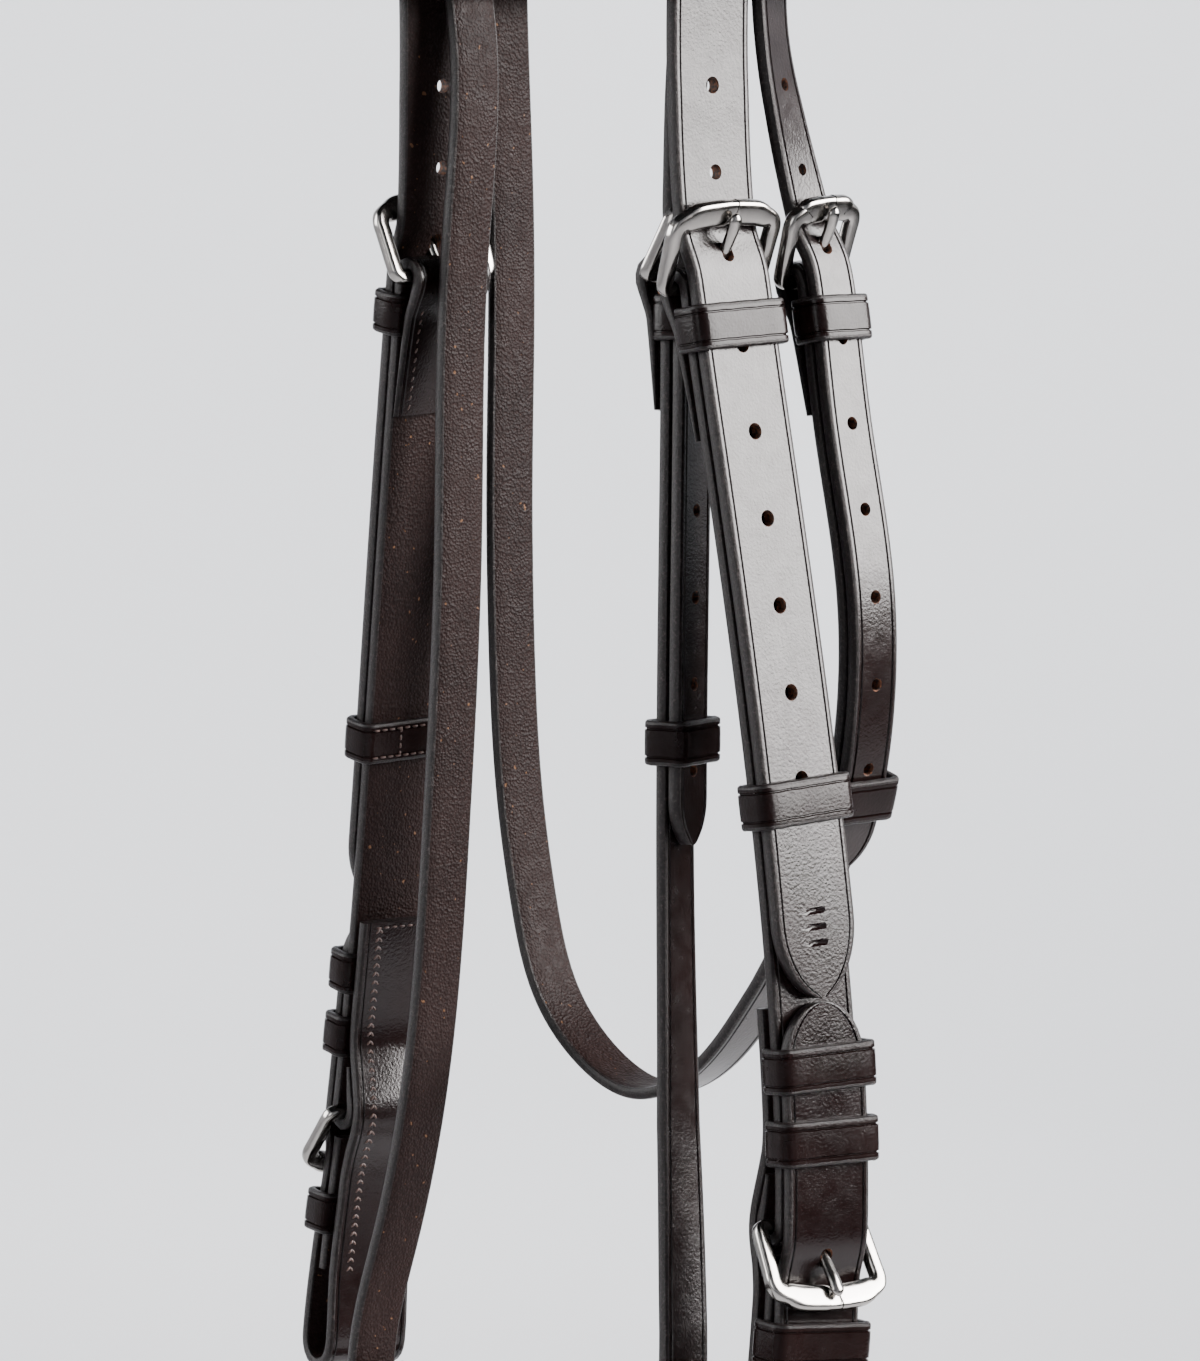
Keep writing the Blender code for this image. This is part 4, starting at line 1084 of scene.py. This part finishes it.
def bit_end(side, route):
    """Lining, fold and upward billet in one strap, and the filler ply inside it."""
    name = side_name(side)
    bar = route.at_height(BIT_BUCKLE)
    radius = 5.5 * MM
    fold = route.at_height(FOLD_BOTTOM) - radius - BIT_THICK / 2
    path = lining_path(route) + arc_path(fold, -4.5 * MM, radius, 180, 0)
    path += [(fold - 6 * MM, 0.8 * MM), (bar + 22 * MM, -0.4 * MM), (bar + 15 * MM, -0.75 * MM),
             (bar + 10.5 * MM, -0.6 * MM), (bar + 7 * MM, 0.5 * MM), (bar + 3.5 * MM, 1.4 * MM),
             (bar, BIT_BILLET_OUT), (route.at_height(BIT_TIP), BIT_BILLET_OUT)]
    holes = [prong_hole(bar, -1, BIT_THICK)]
    strap(name + "_bit_strap", route, path, CHEEK_WIDTH, BIT_THICK, (name + "_bit_strap",),
          ("end",), grain=-1, holes=holes, soften=1.2 * MM, mats=leather_mats("lining"), tip=ROUNDED)
    back = [(bar + 6.6 * MM, -4.1 * MM), (route.at_height(STITCH_END), -4.1 * MM)]
    strap(name + "_bit_backing", route, back, CHEEK_WIDTH, PLY_THICK, (name + "_bit_backing",))


def cheek_keepers(side, route):
    name = side_name(side) + "_"
    inner = PLY_OUT - PLY_THICK / 2
    outer = BILLET_OUT + BILLET_THICK / 2
    bit_outer = BIT_BILLET_OUT + BIT_THICK / 2
    keeper(name + "top_keeper", route, route.at_height(-123.5 * MM), inner, outer, CHEEK_WIDTH)
    keeper(name + "cheek_keeper", route, route.at_height(-226 * MM), inner, outer, CHEEK_WIDTH,
           back=1.6 * MM)
    for place, height in (("upper", -283.5 * MM), ("middle", -299.5 * MM)):
        keeper(name + "bit_keeper_" + place, route, route.at_height(height), inner, bit_outer,
               CHEEK_WIDTH)
    keeper(name + "bit_keeper_lower", route, route.at_height(-343.5 * MM),
           -4.1 * MM - PLY_THICK / 2, 1.8 * MM, CHEEK_WIDTH)


def slim_keepers(prefix, route, fixed, runner):
    """One sewn keeper and one sliding runner on a narrow strap."""
    inner = PLY_OUT - PLY_THICK / 2
    outer = BILLET_OUT + BILLET_THICK / 2
    keeper(prefix + "_keeper", route, fixed, inner, outer, SLIM_WIDTH)
    keeper(prefix + "_runner", route, runner, inner, outer, SLIM_WIDTH, RUNNER_ROOM, 1.6 * MM,
           body=prefix + "_runner")


def nose_wrap(route, out):
    """End of a noseband cheek: down outside the nosepiece, under it and up inside."""
    drop = route.at_height(-402 * MM)
    low = route.at_height(-412.5 * MM)
    radius = 4.05 * MM
    path = [(route.at_height(-300 * MM), out), (route.at_height(-345 * MM), 0.0), (drop, 0.0)]
    path += arc_path(low, -radius, radius, 0, 180)
    path += [(drop, -2 * radius), (route.at_height(-385 * MM), -2 * radius),
             (route.at_height(-380 * MM), -6.2 * MM, 2.2 * MM),
             (route.at_height(-373 * MM), -4.0 * MM, 1.4 * MM)]
    return path


def noseband_straps(noses):
    """Sliphead over the poll with its near billet, and the near cheek that it buckles to."""
    near, off = noses[1], noses[-1]
    pivot = near.at_height(NOSE_BUCKLE)
    tip = near.at_height(-238 * MM)
    near_path = with_thickness([(0.0, 0.0), (near.at_height(-45 * MM), 0.0)], BILLET_THICK)
    near_path += billet_path(pivot, 1) + [(tip, BILLET_OUT, BILLET_THICK)]
    near_rows = layer_path(near_path, BILLET_THICK, 1.6 * MM, ("end",), SLIM_WIDTH)
    off_path = [(0.0, 0.0), (off.at_height(-45 * MM), 0.0)] + nose_wrap(off, 0.0)
    off_rows = layer_path(off_path, BILLET_THICK, 0.6 * MM)
    near_rings = strap_rings(near, near_rows, SLIM_WIDTH, ("end",))
    off_rings = strap_rings(off, off_rows, SLIM_WIDTH)
    bm = bmesh.new()
    skin(bm, near_rings[::-1] + off_rings[1:], section_zones(len(near_rings[0])))
    piece = make_piece("sliphead_leather", bm, leather_mats(), ("noseband_sliphead",))
    holes = [prong_hole(pivot, 1)]
    holes += [hole(pivot + i * SLIM_HOLE_STEP - 5 * MM, BILLET_OUT, SLIM_HOLE_RADIUS)
              for i in range(1, 7)]
    punch(piece, near, holes)
    path = wrap_path(pivot, 1, 30 * MM) + nose_wrap(near, PLY_OUT)
    strap("noseband_near_cheek", near, path, SLIM_WIDTH, PLY_THICK, ("noseband_near_cheek",),
          soften=0.6 * MM, holes=[strap_slot(pivot, 1)])
    buckle("noseband_cheek", near, pivot, 1, SLIM_WIDTH)
    slim_keepers("noseband_cheek", near, near.at_height(-122.5 * MM), near.at_height(-215 * MM))


def nose_width(s, length):
    """Width of the nosepiece: full round the nose, narrow at its two ends."""
    left = min(s - NOSE_NEAR_END, length - s - NOSE_OFF_END)
    ramp = min(max(left / NOSE_FLARE, 0), 1)
    ease = ramp * ramp * (3 - 2 * ramp)
    return SLIM_WIDTH + (NOSE_WIDTH - SLIM_WIDTH) * ease


def nosepiece(route):
    """Raised nosepiece: padded middle between two stitched rows."""
    length = float(route.lengths[-1])
    rings = []
    count = int(length / (1.8 * MM))
    for i in range(count + 1):
        s = min(max(length * i / count, 0.2 * MM), length - 0.2 * MM)
        place, _, out, across = route.vectors(s)
        wide = nose_width(s, length) * BAND_INSIDE_CAD
        rings.append([place + across * u + out * v
                      for u, v in strap_section(wide, NOSE_THICK * INSIDE_CAD)])
    bm = bmesh.new()
    skin(bm, rings, section_zones(len(rings[0])))
    make_piece("nosepiece_leather", bm, leather_mats(), ("nosepiece",))
    bm = bmesh.new()
    face = NOSE_THICK * INSIDE_CAD / 2 + 0.02 * MM
    for s in steps(12 * MM, length - 12 * MM, 2.5 * MM):
        wide = nose_width(s, length) / 2 - 3.1 * MM
        for u in (wide, -wide):
            stitch_row(bm, route, [s], lambda _: face, u, 1)
            stitch_row(bm, route, [s], lambda _: -face, u, -1)
    finish_stitches("nosepiece_stitches", bm)


def chin_parts(route):
    """Tab with the chin buckle on the near side, and the chin strap from the off side."""
    pivot = 52 * MM
    tab = with_thickness([(1 * MM, PLY_OUT)], PLY_THICK) + wrap_path(pivot, -1, 11 * MM)[::-1]
    strap("noseband_chin_tab", route, tab, SLIM_WIDTH, PLY_THICK, ("noseband_chin_tab",),
          soften=0.6 * MM, holes=[strap_slot(pivot, -1)])
    path = [(5 * MM, BILLET_OUT)] + billet_path(pivot, -1)[::-1]
    path += [(pivot + 40 * MM, 0.0), (route.lengths[-1] - 60 * MM, 0.0),
             (route.lengths[-1] - 3 * MM, PLY_OUT + 0.1 * MM)]
    holes = [prong_hole(pivot, -1)]
    holes += [hole(pivot + 5 * MM + i * SLIM_HOLE_STEP, 0.0, SLIM_HOLE_RADIUS) for i in (1, 2, 3)]
    holes.append(hole(pivot + 5 * MM - SLIM_HOLE_STEP, BILLET_OUT, SLIM_HOLE_RADIUS))
    strap("noseband_chin_strap", route, path, SLIM_WIDTH, BILLET_THICK, ("noseband_chin_strap",),
          ("start",), holes=holes, soften=1.6 * MM)
    buckle("noseband_chin", route, pivot, -1, SLIM_WIDTH)
    slim_keepers("noseband_chin", route, pivot - 9.5 * MM, pivot - 23.7 * MM)
    bm = bmesh.new()
    end = route.lengths[-1]
    for first, last, face in ((2.5 * MM, 15 * MM, PLY_OUT + PLY_THICK / 2),
                              (end - 5 * MM, end - 38 * MM, PLY_OUT + BILLET_THICK / 2 + 0.12 * MM)):
        for s in steps(first, last, END_PITCH):
            for u in (-4.2 * MM, 4.2 * MM):
                stitch_row(bm, route, [s], lambda _: face, u, 1)
    finish_stitches("noseband_end_stitches", bm)


def browband():
    """Front strap whose two ends are folded into loops round the headpiece and sewn."""
    half = [(48.6, -46), (48.3, -25), (45, -17.5), (38.5, -14.6), (35.6, -9), (35.6, 6),
            (35.6, 23), (38, 31), (44, 34.5), (50, 31), (52.2, 23), (52.2, 4), (51.6, -12),
            (51.4, -26), (51.8, -60), (50, -90), (43.5, -120), (27, -143)]
    plan = half + [(0, -151)] + [(-x, y) for x, y in reversed(half)]
    smooth = spline_samples([(x * MM, y * MM, 0) for x, y in plan], 12)
    rings = []
    last = len(smooth) - 1
    for i, spot in enumerate(smooth):
        along = smooth[min(i + 1, last)] - smooth[max(i - 1, 0)]
        along = Vector(along).normalized()
        away = Vector((-along.y, along.x, 0))
        ahead = max(0, -spot[1] - 36 * MM)
        lift = 0.2 * ahead ** 2 / (ahead + 8 * MM)
        centre = Vector((spot[0], spot[1], BROW_LOW + BROW_WIDTH / 2 + lift))
        rings.append([centre + Vector((0, 0, 1)) * u * BAND_INSIDE_CAD + away * v
                      for u, v in strap_section(BROW_WIDTH, BROW_THICK * INSIDE_CAD)])
    bm = bmesh.new()
    skin(bm, rings, section_zones(len(rings[0])))
    make_piece("browband_leather", bm, leather_mats(), ("browband",))
    bm = bmesh.new()
    middle = BROW_LOW + BROW_WIDTH / 2
    for side in (1, -1):
        for up in (-7.6 * MM, 7.6 * MM):
            for y in steps(-16 * MM, -44 * MM, END_PITCH):
                spot = Vector((side * BROW_FACE, y, middle + up))
                add_stitch(bm, spot, Vector((0, 1, 0.25)).normalized(), Vector((side, 0, 0)),
                           1.75 * MM, 0.32 * MM)
    finish_stitches("browband_stitches", bm)


def cheek_stitches(side, route):
    """Sewing of one cheek: turned end, keeper band, lining and fold."""
    name = side_name(side)
    bm = bmesh.new()
    rows = np.array(lining_path(route))
    half_bit = BIT_THICK / 2

    def lining_face(s):
        return float(np.interp(s, rows[:, 0], rows[:, 1])) - half_bit
    start = route.at_height(LINING_TOP) + 2.2 * MM
    end = route.at_height(STITCH_END) - 1 * MM
    for u in (-6.4 * MM, 6.4 * MM):
        stitch_row(bm, route, steps(start, end, 2.15 * MM), lining_face, u, -1, 1.7 * MM, 0.36 * MM,
                   herring=True)
    cross_row(bm, route, start - 0.8 * MM, lining_face(start), 6.6 * MM, -1)
    top = route.at_height(TOP_BUCKLE)
    tail = np.array([(top + 4.5 * MM, -8.35 * MM), (top + 9 * MM, -6.7 * MM),
                     (top + 16 * MM, -5.9 * MM), (top + 33 * MM, -4.4 * MM)])
    for u in (-7.2 * MM, 7.2 * MM):
        stitch_row(bm, route, steps(top + 8 * MM, top + 31 * MM, 2.2 * MM),
                   lambda s: float(np.interp(s, tail[:, 0], tail[:, 1])), u, -1, 1.5 * MM, 0.28 * MM,
                   slant=0.5)
    band = route.at_height(-226 * MM)
    face = PLY_OUT - PLY_THICK / 2 - KEEPER_ROOM - 1.6 * MM
    for s in (band - 3.4 * MM, band + 3.4 * MM):
        cross_row(bm, route, s, face, 10 * MM, -1, 2.1 * MM, 1.6 * MM, 0.3 * MM)
    stitch_row(bm, route, steps(band - 3 * MM, band + 3 * MM, 2.0 * MM), lambda _: face, 3 * MM, -1,
               1.5 * MM, 0.3 * MM)
    finish_stitches(name + "_cheek_stitches", bm)


# ---------------------------------------------------------------- studio

FLOOR = -0.62
WALL = 2.6
WALL_TOP = 3.2
CORNER = 1.1
CORNER_STEPS = 12
SWEEP_STEPS = 96


def sweep():
    """A round pale sweep, floor and wall in one."""
    profile = [(0.02, FLOOR), (WALL - CORNER, FLOOR)]
    for i in range(1, CORNER_STEPS + 1):
        turn = math.radians(90 * i / CORNER_STEPS)
        profile.append((WALL - CORNER + CORNER * math.sin(turn), FLOOR + CORNER * (1 - math.cos(turn))))
    profile.append((WALL, WALL_TOP))
    rings = []
    for k in range(SWEEP_STEPS):
        turn = 2 * math.pi * k / SWEEP_STEPS
        rings.append([Vector((r * math.cos(turn), r * math.sin(turn), z)) for r, z in profile])
    bm = bmesh.new()
    rows = [[bm.verts.new(p) for p in ring] for ring in rings]
    for low, high in zip(rows, rows[1:] + rows[:1]):
        for i in range(len(profile) - 1):
            bm.faces.new((low[i], low[i + 1], high[i + 1], high[i]))
    bm.faces.new([row[0] for row in rows])
    mesh = bpy.data.meshes.new("sweep")
    bm.to_mesh(mesh)
    bm.free()
    mesh.materials.append(paper("paper", (0.765, 0.775, 0.80)))
    mesh.shade_smooth()
    link_object("sweep", mesh)


def studio():
    """The sweep, a faint sky, five soft lights at (distance, turn, rise) and a black card."""
    sweep()
    world = bpy.data.worlds.new("world")
    world.use_nodes = True
    sky = world.node_tree.nodes["Background"].inputs
    sky["Color"].default_value = (0.9, 0.93, 1.0, 1)
    sky["Strength"].default_value = 0.03
    bpy.context.scene.world = world
    softbox("key", (1.35, 44, 21), (0.8, 0.98), 39, 100, (0, 0, -0.2), (1.0, 0.965, 0.95))
    softbox("backdrop", (1.1, 140, 52), (1.4, 0.9), 46, 140, (-2.0, 1.68, 0.1))
    softbox("front", (1.9, -75, 20), (0.7, 1.2), 4, 100, (0, 0, -0.2))
    softbox("rear", (1.8, 226, 18), (0.9, 1.1), 15, 100, (0, 0, -0.2))
    softbox("far", (1.9, 45, 45), (1.2, 0.6), 20, 140, (1.84, 1.84, -0.1))
    flag((1.25, 52), (2.7, 0.5), -0.47)


def flag(seat, size, height):
    """A black card that keeps the pale floor out of the gloss of the lower straps."""
    away, turn = seat[0], math.radians(seat[1])
    bm = bmesh.new()
    bmesh.ops.create_grid(bm, x_segments=1, y_segments=1, size=0.5)
    mesh = bpy.data.meshes.new("flag")
    bm.to_mesh(mesh)
    bm.free()
    mesh.materials.append(paper("black_card", (0.008, 0.008, 0.008)))
    card = link_object("flag", mesh)
    card.location = (away * math.cos(turn), away * math.sin(turn), height)
    card.scale = (*size, 1)
    card.rotation_euler = (math.radians(90), 0, turn + math.radians(90))
    card.visible_camera = False


def softbox(name, seat, size, power, spread, goal, tint=(1, 1, 1)):
    """A rectangular soft light at (distance, turn, rise) from the bridle, aimed at a goal."""
    data = bpy.data.lights.new(name, "AREA")
    data.shape = "RECTANGLE"
    data.size, data.size_y = size
    data.energy = power
    data.color = tint
    data.spread = math.radians(spread)
    light = link_object(name, data)
    away, turn, rise = seat[0], math.radians(seat[1]), math.radians(seat[2])
    spot = Vector((math.cos(turn) * math.cos(rise), math.sin(turn) * math.cos(rise), math.sin(rise)))
    light.location = Vector((0, 0, -0.2)) + spot * away
    light.rotation_euler = (Vector(goal) - light.location).to_track_quat("-Z", "Y").to_euler()
    light.visible_camera = False


# ---------------------------------------------------------------- build

make_camera()
MATS = make_materials()
CHEEKS = {1: cheek_route(1), -1: cheek_route(-1)}
NOSES = {1: nose_route(1), -1: nose_route(-1)}
crown(CHEEKS)
for SIDE, ROUTE in CHEEKS.items():
    cheek_billet(SIDE, ROUTE)
    cheekpiece(SIDE, ROUTE)
    bit_end(SIDE, ROUTE)
    cheek_keepers(SIDE, ROUTE)
    cheek_stitches(SIDE, ROUTE)
throat_parts(throat_route())
noseband_straps(NOSES)
nosepiece(nose_piece_route())
chin_parts(chin_route())
browband()
studio()
